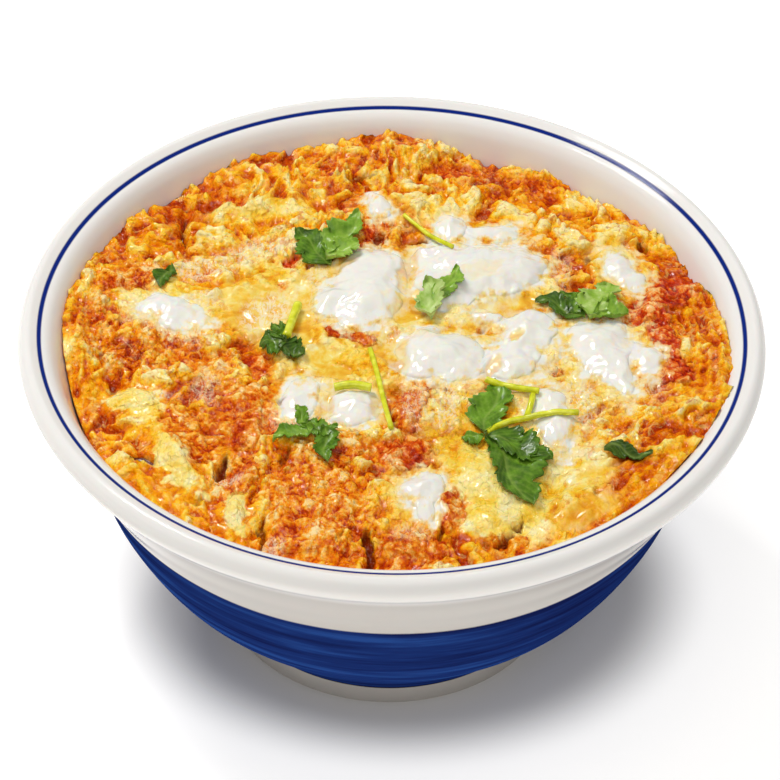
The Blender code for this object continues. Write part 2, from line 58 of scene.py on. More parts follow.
# %% A mesh from points, faces and fields
def add_piece(name, points, faces, finish, slot, replaces, fields=None):
    """A smooth closed mesh from points in millimetres. Each field holds one number a point of the top."""
    mesh = bpy.data.meshes.new(name)
    mesh.from_pydata((np.asarray(points) * MM).tolist(), [], faces)
    mesh.shade_smooth()
    mesh.materials.append(finish)
    for field, values in (fields or {}).items():
        padded = np.pad(values.ravel(), (0, len(points) - values.size))
        mesh.attributes.new(field, "FLOAT", "POINT").data.foreach_set("value", padded.astype(np.float32))
    piece = bpy.data.objects.new(name, mesh)
    bpy.context.scene.collection.objects.link(piece)
    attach(piece, "root")
    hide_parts(*replaces)
    print(name, "faces:", len(mesh.polygons))
    return piece


def sheet_faces(index):
    """One square for each cell of a grid of point numbers, facing up where the grid turns anticlockwise."""
    corners = index[:-1, :-1], index[1:, :-1], index[1:, 1:], index[:-1, 1:]
    return np.stack([corner.ravel() for corner in corners], 1)


def sheet_edge(index):
    """The point numbers round a grid's border, anticlockwise."""
    return np.concatenate([index[:-1, 0], index[-1, :-1], index[:0:-1, -1], index[0, :0:-1]])


def border_of(top):
    """The points round a surface's border, anticlockwise."""
    return top.reshape(-1, 3)[sheet_edge(np.arange(top[..., 0].size).reshape(top.shape[:2]))]


def close_below(top, rings):
    """Points and faces of a body: a grid on top, rings of points down its side, and a fan below.

    Each ring has as many points as the grid's border, and the fan meets at the last ring's mean."""
    index = np.arange(top[..., 0].size).reshape(top.shape[:2])
    edge = sheet_edge(index)
    points = [top.reshape(-1, 3)]
    faces = [sheet_faces(index)]
    above, start = edge, index.size
    for ring in rings:
        below = start + np.arange(len(edge))
        faces.append(np.stack([above, below, np.roll(below, -1), np.roll(above, -1)], 1))
        points.append(ring)
        above, start = below, start + len(edge)
    points.append(rings[-1].mean(axis=0, keepdims=True))
    fan = np.stack([above, np.full(len(above), start), np.roll(above, -1)], 1)
    return np.vstack(points), np.vstack(faces).tolist() + fan.tolist()


print("the square of a grid of four points:", sheet_faces(np.arange(4).reshape(2, 2))[0])

# %% [markdown]
# ## Uneven like food
#
# Cooked egg and breadcrumbs have no straight lines. Smooth noise that swells and sinks makes their
# unevenness. It starts from a number that only depends on the place, so every run gives the same bowl.

# %% Smooth noise
# Large odd numbers that scatter neighbouring places and seeds over the whole range
SCATTER_I, SCATTER_J, SCATTER_AGAIN = np.uint32(374761393), np.uint32(668265263), np.uint32(1274126177)
SEED_STEP, SEED_START = 97463, 1013
LOW_BITS = 0xFFFFFF
# Degrees that an octave and a seed turn the grid by, and cells that an octave moves it by
OCTAVE_TURN, SEED_TURN = 37, 23
OCTAVE_MOVE = (17.3, -9.1)
# Brings the blended slopes, which reach about 0.6, to 1
NOISE_GAIN = 1.6


def place_number(i, j, seed):
    """A share from 0 to 1 for each whole-number place, mixed by multiplying and shifting its bits."""
    mixed = i.astype(np.uint32) * SCATTER_I + j.astype(np.uint32) * SCATTER_J
    mixed = mixed + np.uint32(SEED_STEP * seed + SEED_START)
    mixed = (mixed ^ (mixed >> np.uint32(13))) * SCATTER_AGAIN
    return ((mixed ^ (mixed >> np.uint32(16))) & np.uint32(LOW_BITS)) / LOW_BITS


def ease(value):
    """0 below 0, 1 above 1, and between them three squares less two cubes."""
    value = np.clip(value, 0, 1)
    return value * value * (3 - 2 * value)


def turned(degrees):
    """The cosine and sine of an angle."""
    return math.cos(math.radians(degrees)), math.sin(math.radians(degrees))


def swells(x, y, size, seed, octaves=1, keep=0.5):
    """Gradient noise, about -1 to 1: each grid corner slopes its own way, and the slopes are blended.

    Every further octave is half the size and `keep` as high, and turned, so that no grid shows."""
    total = np.zeros(np.shape(x))
    height = 1.0
    for octave in range(octaves):
        c, s = turned(OCTAVE_TURN * octave + SEED_TURN * seed)
        u = (c * x + s * y) / size + OCTAVE_MOVE[0] * octave
        v = (c * y - s * x) / size + OCTAVE_MOVE[1] * octave
        i, j = np.floor(u).astype(np.int64), np.floor(v).astype(np.int64)
        fu, fv = u - i, v - j
        rows = []
        for dj in (0, 1):
            ends = []
            for di in (0, 1):
                angle = 2 * math.pi * place_number(i + di, j + dj, seed + octave)
                ends.append(np.cos(angle) * (fu - di) + np.sin(angle) * (fv - dj))
            rows.append(ends[0] + ease(fu) * (ends[1] - ends[0]))
        total += height * NOISE_GAIN * (rows[0] + ease(fv) * (rows[1] - rows[0]))
        size, height = size / 2, height * keep
    return total


def bent(x, y, *bends):
    """The places moved by noise. Each bend: (how far in mm, swell size, seed for x, seed for y, octaves)."""
    moved_x, moved_y = x, y
    for far, size, seed_x, seed_y, *octaves in bends:
        moved_x = moved_x + far * swells(x, y, size, seed_x, *octaves)
        moved_y = moved_y + far * swells(x, y, size, seed_y, *octaves)
    return moved_x, moved_y


print("noise at three places:", swells(np.array([0.2, 3.1, 8.8]), np.zeros(3), 4.0, 1).round(2))

# %% [markdown]
# ## Ovals in place of a drawing
#
# Where crust, yolk or egg white shows is set by ovals. Their edges are bent by noise before they are read, so
# that no oval is seen as one.

# %% Reading ovals
def oval(x, y, spot):
    """How far a place is from an oval's middle, as a share of the oval's reach that way."""
    middle_x, middle_y, half_length, half_width, turn = spot
    c, s = turned(turn)
    dx, dy = x - middle_x, y - middle_y
    return np.hypot((c * dx + s * dy) / half_length, (c * dy - s * dx) / half_width)


def within(x, y, spots, soft=0.5):
    """1 inside any of the ovals, 0 outside them all, a soft step between. A sixth number is the strength."""
    found = np.zeros(np.shape(x))
    for spot in spots:
        strength = spot[5] if len(spot) > 5 else 1.0
        found = np.maximum(found, strength * ease((1 + soft / 2 - oval(x, y, spot[:5])) / soft))
    return found


print("share of the reach, 5 mm out along an oval of 10:", float(oval(5.0, 0.0, (0, 0, 10, 4, 0))))

# %% [markdown]
# ## The food's broad form
#
# The filling is a flat-topped heap that meets the bowl's wall higher at the back and the right. This is
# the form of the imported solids, so it is worked out from the same few numbers: a dome, the height of its
# edge round the bowl, and the large lobes and hollows of the egg.

# %% Heap, edge and lobes
DOME_HEIGHT = 80.5
DOME_POWER = 3.5
WALL_RADIUS = 78.5
EDGE_HEIGHT = 75.0
# (azimuth in degrees, half width in degrees, height)
EDGE_RISES = (
    (-22, 18, 8.4), (2, 14, 5.2), (32, 18, 3.6), (66, 8, 1.0), (91, 11, 6.0), (118, 16, 5.0),
    (150, 14, 3.0), (174, 12, 6.4), (203, 9, -2.6), (-10, 7, 1.2), (14, 9, 1.6), (-31, 6, 1.3),
    (161, 6, 2.2),
)
# (x, y, half length, half width, turn in degrees, height)
EGG_SWELLS = (
    (-62, 43, 11, 7, 40, 2.2), (-51, 42, 8, 1.5, 90, -3.0), (-40, 57, 10, 6, 30, 1.6),
    (-36, 49, 14, 3, 20, 2.0), (-14, 66, 7, 5, 60, 1.8), (-5, 59, 8, 2, 20, -2.2), (6, 72, 9, 5, 0, 2.0),
    (22, 62, 8, 7, 0, 1.6), (38, 64, 7, 6, -40, 1.8), (53, 42, 9, 4, 60, 1.8), (47, 35, 5, 2, 40, -2.2),
    (76, -2, 18, 3, 90, 1.6), (62, -30, 12, 5, 50, 1.8), (46, -52, 16, 7, 35, 2.6),
    (37, -47, 14, 2.6, 65, -1.8), (30, -60, 5, 1.8, 50, -1.8), (-29, -61, 6, 2, 90, -1.4),
    (-37.5, -43, 6, 3, 70, -1.8), (-61, -25, 7, 7, 0, 1.8), (-59, -43, 9, 6, -32, 2.6),
    (-49, -38, 13, 2.5, -65, 2.2), (-72, -10, 20, 1.5, -80, 1.4), (-69, -3, 4, 2, 90, -1.6),
    (-65, -14, 3, 1.8, 60, -1.6), (-4, 39, 5, 3.5, 90, -1.2), (21, 5, 3, 2, 0, -1.4),
    (39, -9, 3, 2.5, 90, -1.2),
)


def heap_height(x, y):
    """The dome falls from its flat middle to its edge with a power of the radius; each lobe adds a bell."""
    azimuth = np.degrees(np.arctan2(y, x))
    edge = EDGE_HEIGHT
    for centre, width, rise in EDGE_RISES:
        away = (azimuth - centre + 180) % 360 - 180
        edge = edge + rise * np.exp(-((away / width) ** 2))
    reach = np.clip(np.hypot(x, y) / WALL_RADIUS, 0, 1)
    height = edge + (DOME_HEIGHT - edge) * (1 - reach**DOME_POWER)
    for *spot, rise in EGG_SWELLS:
        height = height + rise * np.exp(-(oval(x, y, spot) ** 2))
    return height


print("heap's middle in mm:", float(heap_height(np.array(0.0), np.array(0.0)).round(1)))

# %% [markdown]
# ## What lies where
#
# Seen from above, the filling is a patchwork: brown crumb where the cutlets stand out, runny yolk between
# the egg whites, pale curds, and darker egg near the wall where it cooked longest. Each list names one of
# these, as ovals in millimetres, and a strength where it only shows through.

# %% The patchwork
CRUST_SPOTS = (
    (-62, 22, 9.5, 5, 22), (-71, 6, 12, 3.6, 86, 0.7), (-60, -4, 13, 7, 5, 0.75),
    (-46.5, -33, 12, 5.5, -68), (-43, -10, 5.5, 5, 0, 0.8), (-32, -8.5, 5, 3.4, -50),
    (-34, -26, 11, 8, 88, 0.95), (-35, -46, 8, 5.5, 70), (-17, -55, 19, 12, 90), (-13, -37, 9, 5, 0),
    (3, -39, 7, 5, 0), (4.5, -24, 8, 4.5, 85, 0.9), (15, -55, 7, 4, 85), (27, -63, 6, 3, -30),
    (6, -67, 9, 6, 0, 0.9), (67, 21, 10, 6.5, 65), (61, 13, 7.5, 5, 45), (64.5, 1, 12, 3.8, 95),
    (67, -11, 6, 4.5, 90), (-11.5, 3.4, 5.5, 2.6, -10), (-6, 0.6, 4.6, 2.4, -40), (-5, 41, 7, 5, 80),
    (-25, 28.5, 2.6, 1.3, 80), (-21, 26.5, 1.3, 1.2, 0), (-27, 20, 1.7, 1.2, 60),
    (-36, 29, 2.6, 1.2, 60, 0.7), (4, 75, 6, 4, 0, 0.8), (15, 66, 8, 4, 0, 0.8), (-16, 65, 6, 2.6, 65, 0.9),
    (34, 61, 8, 5, -30, 0.7), (21, 5, 1.8, 1.6, 0, 0.9), (39, -9, 2.2, 1.8, 60), (35, -17, 3, 2.6, 0, 0.8),
    (46, -15, 5, 3, 40, 0.5), (57, -14, 6, 3, 80, 0.6), (-60, -36, 5, 3, 0, 0.5),
    (-47, 58, 5, 2.4, 60, 0.6), (-41, 52, 6, 2.2, -30, 0.7), (-52, 44, 6, 1.8, 88, 0.7),
    (26, 58, 3, 2, 0, 0.7), (52, -29, 4, 3, 0, 0.4), (-28, -65, 4, 3, 0, 0.7), (10, -16, 4, 2.4, -30, 0.6),
    (44, 20, 5, 2, -20, 0.7),
)
# Holes and the gaps between slices: sunk into the food, and painted dark brown as the shade inside them
DARK_HOLES = (
    (48, 33.5, 2.2, 0.9, 50, 0.7), (61, 39, 2.4, 1.0, 80, 0.7), (6, 36.8, 2.4, 1.2, -10, 0.9),
    (-4, 39, 3, 1.2, 70, 0.8), (-63, -2.4, 1.6, 0.9, 0, 0.5), (-68, -4.5, 3, 0.9, 80, 0.6),
    (-65, -14, 2.8, 1.1, -60, 0.6), (-38, -42, 3.2, 1.1, 70, 0.9), (-24, -39.5, 4, 0.9, 88, 0.7),
    (-29, -62, 5.5, 0.7, 90, 0.8), (-4.8, -67, 6, 1.15, 90), (26.5, -63.5, 2.6, 0.9, 30, 0.8),
    (29.4, -59, 2.4, 0.6, 60, 0.8), (39, -9, 1.3, 0.9, 60, 0.6), (21.2, 5, 1.3, 1.0, 0, 0.6),
    (-21, 26.4, 0.9, 0.8, 0, 0.8), (-13, 63, 2.6, 0.8, 65, 0.5), (5, 60.5, 4, 0.6, 8, 0.6),
    (-8, 61.5, 4.5, 0.8, 20, 0.6), (-51, 42, 6.5, 0.7, 92, 0.8), (-25, -22, 1.6, 0.6, 60, 0.6),
    (-43, -52, 2.2, 0.9, 60, 0.6), (12, -62, 2.6, 0.8, 80, 0.7), (0.2, -27, 4.5, 0.9, 92, 0.6),
)
YOLK_SPOTS = (
    (-21.5, 9, 15, 2.6, 92), (-30.5, 10.5, 10, 8.5, 60, 0.8), (-17, -6.5, 4.5, 4, 60),
    (-14, -11, 5, 2.2, 15), (3.5, 11, 5, 4.6, 90), (3.6, 25, 12, 1.8, 86, 0.8), (0, -4, 7, 3.2, 105, 0.9),
    (28, 13.6, 9, 3, 14), (-16, 26, 7, 3, 25, 0.8), (-10, -17.5, 6.5, 2, 5, 0.9),
    (23.5, -10, 4, 2.2, 60, 0.7), (29.4, 1, 1.7, 1.5, 0), (45, -55, 8, 3.4, 35, 0.6),
    (-39, 17, 6, 2.4, 90, 0.7), (-15, -24, 4, 1.4, 70, 0.8), (14, 3.4, 5, 1.6, 20, 0.5),
    (47, -44, 7, 3, 30, 0.4), (-2.4, -21, 8, 1.3, 96, 0.7), (17, -27, 3, 2, 70, 0.5),
)
CREAM_SPOTS = (
    (-33, 47.5, 13, 3.4, 12), (-33, 57.5, 7, 1.8, 92), (-26, 58, 4.4, 1.3, 80), (-19, 55.5, 4.6, 1.4, 105),
    (-38, 31, 11, 8, 10, 0.7), (-31, 37, 9, 5, 20, 0.75), (-46, 16, 8, 7, 0, 0.9), (-48, 24, 8, 4, 20, 0.7),
    (-27, 23, 7, 5, 0, 0.8), (-62, 13, 6, 4, 10), (-60, -19, 7, 3, -10), (-56, -27, 8, 5, 25, 0.7),
    (10, 55, 9, 5, 0, 0.5), (25, 52, 10, 5, 0, 0.5), (3, 60.5, 4, 3, 0, 0.8), (47, 57, 5, 3.6, 40, 0.8),
    (53, 43, 8, 3, 62, 0.9), (44, 39, 6, 5, 0, 0.6), (-9, -5, 6, 4, 0, 0.9), (-8, -13, 8, 2.6, 8),
    (33, -9, 5, 4, 60, 0.7), (44, -23, 10, 6, 95, 0.7), (55, -28, 9, 6, 30, 0.45), (22, -43, 10, 8, -30),
    (23, -58, 7, 4.4, 10, 0.9), (43, -45, 8, 5, 25, 0.95), (13, -20, 9, 3.4, 88, 0.8),
    (-37, -46, 3.4, 2.6, 0, 0.7), (-49.5, -41, 10, 2.4, -64), (33, -58, 8, 2.4, 75, 0.9),
    (0, 14, 5, 3, 0, 0.7), (-18, 11, 3, 7, 0, 0.6), (60, 8, 5, 2, 90, 0.3), (68, -2, 18, 2.4, 88, 0.3),
    (-32, 0, 6, 3, 60, 0.5), (38, 22, 5, 4, 0, 0.6), (8, -57, 8, 5, 70, 0.5), (16, -38, 6, 3, 60, 0.7),
    (-24, -25, 5, 2, 80, 0.7), (-10, -29, 8, 3, 15, 0.8),
)
MILKY_SPOTS = (
    (-51, 4, 9, 4, -22, 0.7), (-46, 13, 5, 3, 0, 0.5), (44, -20, 9, 4, 95, 0.65),
    (13, -21, 8, 2.6, 86, 0.6), (6, -22, 9, 3, 95, 0.5), (-36.5, -46, 3, 2.2, 0, 0.6),
    (48, 8.5, 7, 2.2, 0, 0.8), (-56, -18.6, 6, 1.6, -6, 0.7), (37, -4, 4, 7, 0, 0.5),
    (-43, -17, 3, 5, 30, 0.5), (-18, 20, 3, 12, 0, 0.5), (40, 28, 3, 8, 0, 0.5), (-26, -66, 3, 2.6, 0, 0.5),
    (5, -62, 4, 3, 0, 0.35), (-9, -27, 7, 3, 15, 0.5), (60, -16, 4, 5, 0, 0.4), (-30, 10, 8, 5, 60, 0.8),
    (-14, -17, 8, 4, 0, 0.6), (-21, -27, 5, 7, 80, 0.6), (-46, 26, 9, 4, 20, 0.6), (-58, 8, 6, 4, 0, 0.5),
    (-34, 33, 8, 4, 20, 0.6), (2, 2, 6, 4, 0, 0.5), (42, 12, 5, 6, 0, 0.5), (33, -33, 6, 4, 60, 0.5),
)
AMBER_SPOTS = (
    (-61, 43, 11, 8, 40), (-68, 33, 9, 4, 60, 0.8), (-44, 57, 8, 6, 40, 0.8), (-20, 63, 8, 5, 70, 0.8),
    (0, 71, 12, 5, 0, 0.9), (30, 66, 9, 5, -30, 0.8), (45, 62, 7, 4, -40, 0.5), (58, -50, 15, 5, 50, 0.8),
    (73, -28, 9, 4, 62, 0.7), (-60, -41, 7, 5, -40, 0.9), (-73, -14, 20, 3, -79, 0.7),
    (-54, -50, 9, 4, -42, 0.8), (-38, -62, 9, 4, -30, 0.7), (10, 68, 14, 6, 0, 0.5),
    (-43, -9, 6, 5, 0, 0.7), (5, -24, 6, 9, 0, 0.5), (72, 30, 8, 5, 70, 0.5), (50, 18, 5, 4, 0, 0.3),
    (-30, 66, 12, 4, 20, 0.4),
)
FIN_SPOTS = (
    (-33, 59, 17, 8, 10), (-62, 42, 12, 9, 40), (-8, 66, 12, 8, 0), (18, 68, 12, 6, 0, 0.6),
    (-12, 44, 9, 5, 0, 0.5),
)
RIM_SPOTS = (
    (75, 0, 28, 5, 88), (60, -47, 20, 8, 50), (-74, -5, 24, 3.2, -84), (-58, -48, 16, 4, -42),
    (44, -57, 12, 5, 30),
)
TOAST_SPOTS = (
    (67, 21, 10, 7, 65), (61, 13, 7.5, 6, 45), (64.5, 0, 12, 5, 95), (67, -11, 6, 5, 90),
    (-62, 22, 10, 6, 22, 0.2), (-43, -10, 6, 6, 0, 0.15), (-32, -8.5, 5, 4, -50, 0.6),
    (-34, -26, 11, 8, 88, 0.3), (3, -39, 7, 5, 0, 0.8), (4.5, -24, 8, 5, 85, 0.3),
    (-10.5, 3, 6, 3, -15, 0.6), (-5, 40, 3, 2.4, 90, 0.9), (15, 66, 10, 5, 0, 0.8), (-25, 28.5, 3, 2, 80),
    (15, -55, 7, 4, 85, 0.5), (-47, 58, 5, 2.4, 60, 0.7), (-71, 6, 12, 4, 86, 0.1), (6, -67, 9, 6, 0, 0.4),
)
FILM_SPOTS = (
    (8, 10, 34, 24, 20), (-13, -12, 14, 12, 0), (44, -6, 18, 17, 100), (-26, 14, 15, 15, 0),
    (26, -32, 22, 14, -20), (-52, 11, 13, 8, -20), (30, -54, 12, 9, 70), (8, -50, 9, 9, 90, 0.8),
    (40, -46, 12, 7, 30), (54, 30, 10, 6, 110), (5, 48, 14, 5, 10, 0.4), (-34, 47.5, 13, 3.4, 12, 0.6),
    (-20, -22, 7, 7, 0), (-36, 30, 14, 8, 10, 0.5),
)
SPONGE_SPOTS = (
    (-58, 0, 17, 13, 10), (-66, 16, 10, 10, 0, 0.8), (51, -27, 12, 10, 20), (-38, 31, 14, 9, 10),
    (-44, -12, 10, 10, 0, 0.7), (42, -12, 8, 10, 0, 0.8), (-17, -50, 14, 22, 90, 0.6),
    (60, 0, 10, 24, 90, 0.5), (10, -38, 12, 12, 0, 0.6), (-10, 42, 9, 9, 0, 0.6), (14, -20, 6, 10, 0, 0.9),
    (40, 36, 14, 10, 0, 0.5), (0, 66, 30, 10, 0, 0.5),
)


def patchwork(x, y):
    """The strength of each finish at each place, read up to 2 mm away from it, so that edges are ragged."""
    wx, wy = bent(x, y, (1.5, 6.5, 11, 13), (0.55, 1.9, 12, 14, 2))
    found = {
        "crust": ease(1.5 * within(wx, wy, CRUST_SPOTS, 0.8) + 0.55 * swells(x, y, 2.8, 15, 3) - 0.35),
        "hole": within(wx, wy, DARK_HOLES, 0.7),
        "yolk": within(wx, wy, YOLK_SPOTS, 0.5),
        "cream": within(wx, wy, CREAM_SPOTS, 0.7),
        "milky": within(wx, wy, MILKY_SPOTS, 0.9),
        "amber": within(wx, wy, AMBER_SPOTS, 0.9),
        "fins": within(x, y, FIN_SPOTS, 0.8),
        "rim": within(x, y, RIM_SPOTS, 0.8),
        "toast": within(wx, wy, TOAST_SPOTS, 0.8),
        "film": within(wx, wy, FILM_SPOTS, 0.6),
        "sponge": within(wx, wy, SPONGE_SPOTS, 0.8),
    }
    found["yolk"] = found["yolk"] * (1 - found["crust"])
    return found


print("ovals of crust, cream and amber:", len(CRUST_SPOTS), len(CREAM_SPOTS), len(AMBER_SPOTS))

# %% [markdown]
# ## Whites and curds
#
# Egg white that set in spoonfuls lies on the bed as smooth low domes, each the joined reach of a few
# round lobes. A real one has no rim: it thins out and slips under the curds round it. So each is carried
# a little past its reach, and down into the bed.

# %% Lobes of white and curd
# Each: (middle, rise in mm, lobes as ovals from that middle)
PATCHES = {
    "egg_white_1": ((-7, 19), 2.4, ((0.8, 0, 15.5, 9, 85), (-6.5, -5, 7, 5.5, 20))),
    "egg_white_2": ((21, 26), 3.0, ((0, 0, 17, 10, 15), (-7, -8, 7, 6, 60), (-9, 5, 8, 5, 20))),
    "egg_white_3": ((11, -4), 3.2, ((0, 0, 10, 8.5, 0), (5, -5.5, 6, 4, 20), (-4, -2, 6, 7, 0))),
    "egg_white_4": ((30, -1), 2.8, ((0, 1, 12, 6.5, 70), (-2.5, -7, 6, 5, 0), (3, 6, 6, 5, 0))),
    "egg_white_5": ((49, -1), 2.6, ((0, 1, 8, 8, 0), (1, -6, 8, 5, 95), (5, -12, 6, 2.4, 97))),
    "egg_white_6": ((60, -5), 2.6, ((0, 0, 6, 3.4, 95),)),
    "egg_white_7": ((22, 9.5), 2.0, ((0, 0, 3.4, 3.0, 0),)),
    "egg_white_8": ((-21, -21), 2.2, ((0, 0, 8.5, 3.8, 80),)),
    "egg_white_9": ((-8, -23), 2.4, ((0, 0, 6, 5.5, 0), (-3, -4, 5, 3, 0))),
    "egg_white_10": ((-52, 8), 2.0, ((0, 0, 8.5, 5.5, -20),)),
    "egg_white_11": ((38, -26), 2.4, ((0, 0, 10, 4.5, 100), (-1.5, 6, 4.5, 3.5, 60))),
    "egg_white_12": ((7.5, -50), 2.4, ((0, 1, 5.4, 4.6, 80), (1, -6, 3, 2.0, 100))),
    "egg_white_13": ((56, 28), 2.0, ((0, 0, 8.5, 4, 110),)),
    "egg_white_14": ((13, 42.6), 3.0, ((0, 0, 5, 4, 80),)),
    "egg_white_15": ((25, 41.8), 2.2, ((0, 0, 7, 3.6, 5),)),
    "egg_white_16": ((-4, 50), 2.2, ((0, 0, 4.5, 2.8, 110),)),
    "egg_curd_1": ((21, -43), 2.0, ((0, 0, 8, 6, -40), (3, -6, 5, 4, 0))),
    "egg_curd_2": ((23.5, -58), 2.2, ((0, 0, 6.5, 4.2, 15),)),
    "egg_curd_3": ((-34, -57), 2.6, ((0, 0, 5.5, 3.2, 100),)),
    "egg_curd_4": ((-60, -19.5), 2.0, ((0, 0, 6.5, 3, -10),)),
    "egg_curd_5": ((-49.5, -41.5), 3.0, ((0, 0, 9, 2.2, -65),)),
    "egg_curd_6": ((33.5, -52), 2.2, ((0, 0, 6.5, 3.0, 85),)),
}
LOBE_JOIN = 1.5


def depth_inside(x, y, kind):
    """How far a place is inside the whites or the curds in mm, less than 0 outside them, and the rise there.

    Each lobe gives its own depth, and they are joined by the log of the sum of their powers of e, which fills
    the corners between lobes. The rise is averaged by the same powers. Noise bends the outline."""
    wx, wy = bent(x, y, (2.3, 7.5, 51, 53), (1.1, 3.0, 52, 54))
    total = np.full(np.shape(x), 1e-9)
    risen = total * 2
    for middle, rise, lobes in (patch for name, patch in PATCHES.items() if kind in name):
        for dx, dy, length, width, turn in lobes:
            lobe = middle[0] + dx, middle[1] + dy, length, width, turn
            power = np.exp((1 - oval(wx, wy, lobe)) * min(length, width) / LOBE_JOIN)
            total, risen = total + power, risen + rise * power
    return LOBE_JOIN * np.log(total), risen / total


def lobe_reach(theta, lobes):
    """How far the joined lobes reach from their middle in each direction: the last step still inside one."""
    steps = np.arange(0.3, 24, 0.3)
    x, y = np.cos(theta)[..., None] * steps, np.sin(theta)[..., None] * steps
    inside = np.min([oval(x, y, lobe) for lobe in lobes], axis=0) < 1
    return np.max(np.where(inside, steps, 0), axis=-1)


print("patches:", len(PATCHES))

# %% [markdown]
# ## Relief
#
# Each finish has its own surface. Set egg is a crowd of soft lumps with round creases between them, finer
# lumps on large ones. Near the back it stands in fins, and along the wall it runs in fibres. Simmered
# breadcrumb lies in shreds. Yolk lies flat. All of it is one height for each place, the skin, which bed,
# slices and whites share, so that they meet without a step.

# %% Height of egg and of crumb
# Each slice: (front end, back end, width)
SLICES = (
    ((-62, -10), (-63, 25), 18), ((-42.8, -50), (-50.5, -18), 11), ((-32.8, -59), (-33.2, -13), 9.4),
    ((-17.5, -69), (-8, 48), 21), ((6, -70), (13, 40), 19), ((29, -65), (36, 30), 19),
    ((64, -20), (66, 25), 15),
)
# The pool of broth by the wall as an oval and the slit of it that shows, its level, and how deep the slit is
BROTH_POOL = (-57.5, -41.5, 5.5, 3.0, -35)
BROTH_SLIT = (-56.3, -40.0, 5.6, 1.7, -24)
BROTH_LEVEL = 76.0
BROTH_SLIT_DEPTH = 1.6
# How deep a hole is, and how much lower yolk lies
HOLE_DEPTH = 2.2
YOLK_DEPTH = 0.7
# How high crust stands, how far layers part where one goes under another, and how deep egg covers a slice
CRUST_RISE = 0.7
LAYER_DIP = 0.6
SLICE_COVER = 4.0
# Over how many mm a slice, and on either side of its outline a sheet, changes into what is beside it
SLICE_BLEND = 2.4
SHEET_BLEND = 1.8
# A sheet's depth where it starts to rise, over how many mm it rises, and its bumps as (height, size)
SHEET_START, SHEET_SLOPE = -2.4, 9.5
SHEET_BUMPS, SHEET_RIPPLES = (0.4, 9.0), (0.06, 3.4)
# How far the colour of white and of curd runs out on either side, how far that edge wanders, and its size
WHITE_EDGE, CURD_EDGE, EDGE_WANDER, EDGE_SIZE = 2.8, 1.6, 1.7, 3.4
# From how far off the egg lies calmer towards a sheet
NEAR_SHEET = 4.0
# The unevenness of set egg, each as (height, size), then that of crumb
HILLS, FOLDS, LOBES, BITS = (1.3, 11.0), (1.4, 7.5), (1.1, 4.6), (0.7, 2.6)
GRIT, PITS, FINS, FIBRES = (0.2, 1.8), (0.7, 2.4), (2.2, 3.6), (1.7, 2.6)
BROAD_CRUMB, SHREDS = (1.0, 6.5), (0.5, 2.7)
# How much shorter than their length fins and fibres are drawn, and the radius that fibres are measured at
FIN_SQUEEZE, FIBRE_SQUEEZE, FIBRE_RADIUS = 0.24, 0.16, 70
# The noise's height at which a bump has turned flat
FLAT_FROM = 0.55


def curdled(x, y, size, seed):
    """Flat-topped bumps with round creases between them, 0 to 1: smooth noise folded up at 0, then eased."""
    return ease(np.abs(swells(x, y, size, seed, 2)) / FLAT_FROM)


def set_egg(x, y, where):
    """Egg relief in mm, and how high each place is for its surroundings, 0 in a crease and 1 on a crown.

    Hills, folds, lobes and bits add up. Fins at the back and fibres by the wall take about half their place.
    Yolk, film and the sheets lie calmer, and sponge is pitted."""
    bent_x, bent_y = bent(x, y, (3.0, 9.0, 21, 22), (1.0, 3.4, 23, 24))
    sizes = (FOLDS[1], 32), (LOBES[1], 39), (BITS[1], 33)
    folds, lobes, bits = (curdled(bent_x, bent_y, size, seed) - 0.5 for size, seed in sizes)
    hills = swells(bent_x, bent_y, HILLS[1], 31, 2)
    grit = swells(x, y, GRIT[1], 34)
    pits = where["sponge"] * ease((swells(x, y, PITS[1], 37, 2) - 0.25) / 0.35)
    coarse = ease(0.5 + 1.1 * swells(x, y, 10.0, 38))
    rough = np.maximum(0.25 + 0.75 * coarse, 0.8 * where["sponge"])
    fin = 1 - np.abs(swells(bent_x, bent_y * FIN_SQUEEZE, FINS[1], 34, 2))
    across = np.hypot(x, y) + 0.8 * swells(x, y, 7, 35)
    fibre = 1 - np.abs(swells(across, np.arctan2(y, x) * FIBRE_RADIUS * FIBRE_SQUEEZE, FIBRES[1], 36, 2))
    curds = HILLS[0] * hills + FOLDS[0] * folds + LOBES[0] * lobes + BITS[0] * rough * bits
    curds = curds + where["fins"] * (FINS[0] * (fin - 0.65) - 0.45 * curds)
    curds = curds + where["rim"] * (FIBRES[0] * (fibre - 0.6) - 0.5 * curds)
    wet = np.maximum.reduce([0.93 * where["yolk"], 0.62 * where["film"], 0.9 * where["near"]])
    calm = (1 - wet) * (1 - 0.3 * where["cream"])
    dry = 1 - 0.85 * np.maximum(where["yolk"], where["near"])
    height = curds * calm + (GRIT[0] * rough * grit - PITS[0] * pits) * dry
    # The crown sets the colour: creases and pits come out darker as painted shade, and crowns lighter as
    # painted light
    crown = 0.5 + 0.27 * (curds * (0.4 + 0.6 * calm)) + (0.1 * grit - 0.4 * pits) * dry
    return height, np.clip(crown, 0, 1)


def crumb(x, y):
    """Breadcrumb relief in mm, broad swells with shreds of 3 mm and creases between them, and its crowns."""
    shreds = curdled(*bent(x, y, (1.3, 3.2, 41, 42)), SHREDS[1], 43) - 0.5
    broad = swells(x, y, BROAD_CRUMB[1], 45, 2)
    # This crown also sets the colour: painted shade in the crumb's creases and painted light on its shreds
    crown = 0.5 + 0.34 * shreds + 0.26 * broad
    return BROAD_CRUMB[0] * broad + SHREDS[0] * shreds, np.clip(crown, 0, 1)


def inside_slice(x, y, slice_shape):
    """How far a place is inside a slice's outline in mm, less than 0 outside it."""
    front, back = np.array(slice_shape[0], float), np.array(slice_shape[1], float)
    length = np.linalg.norm(back - front)
    c, s = (back - front) / length
    dx, dy = x - (front[0] + back[0]) / 2, y - (front[1] + back[1]) / 2
    return np.minimum(length / 2 - np.abs(c * dx + s * dy), slice_shape[2] / 2 - np.abs(c * dy - s * dx))


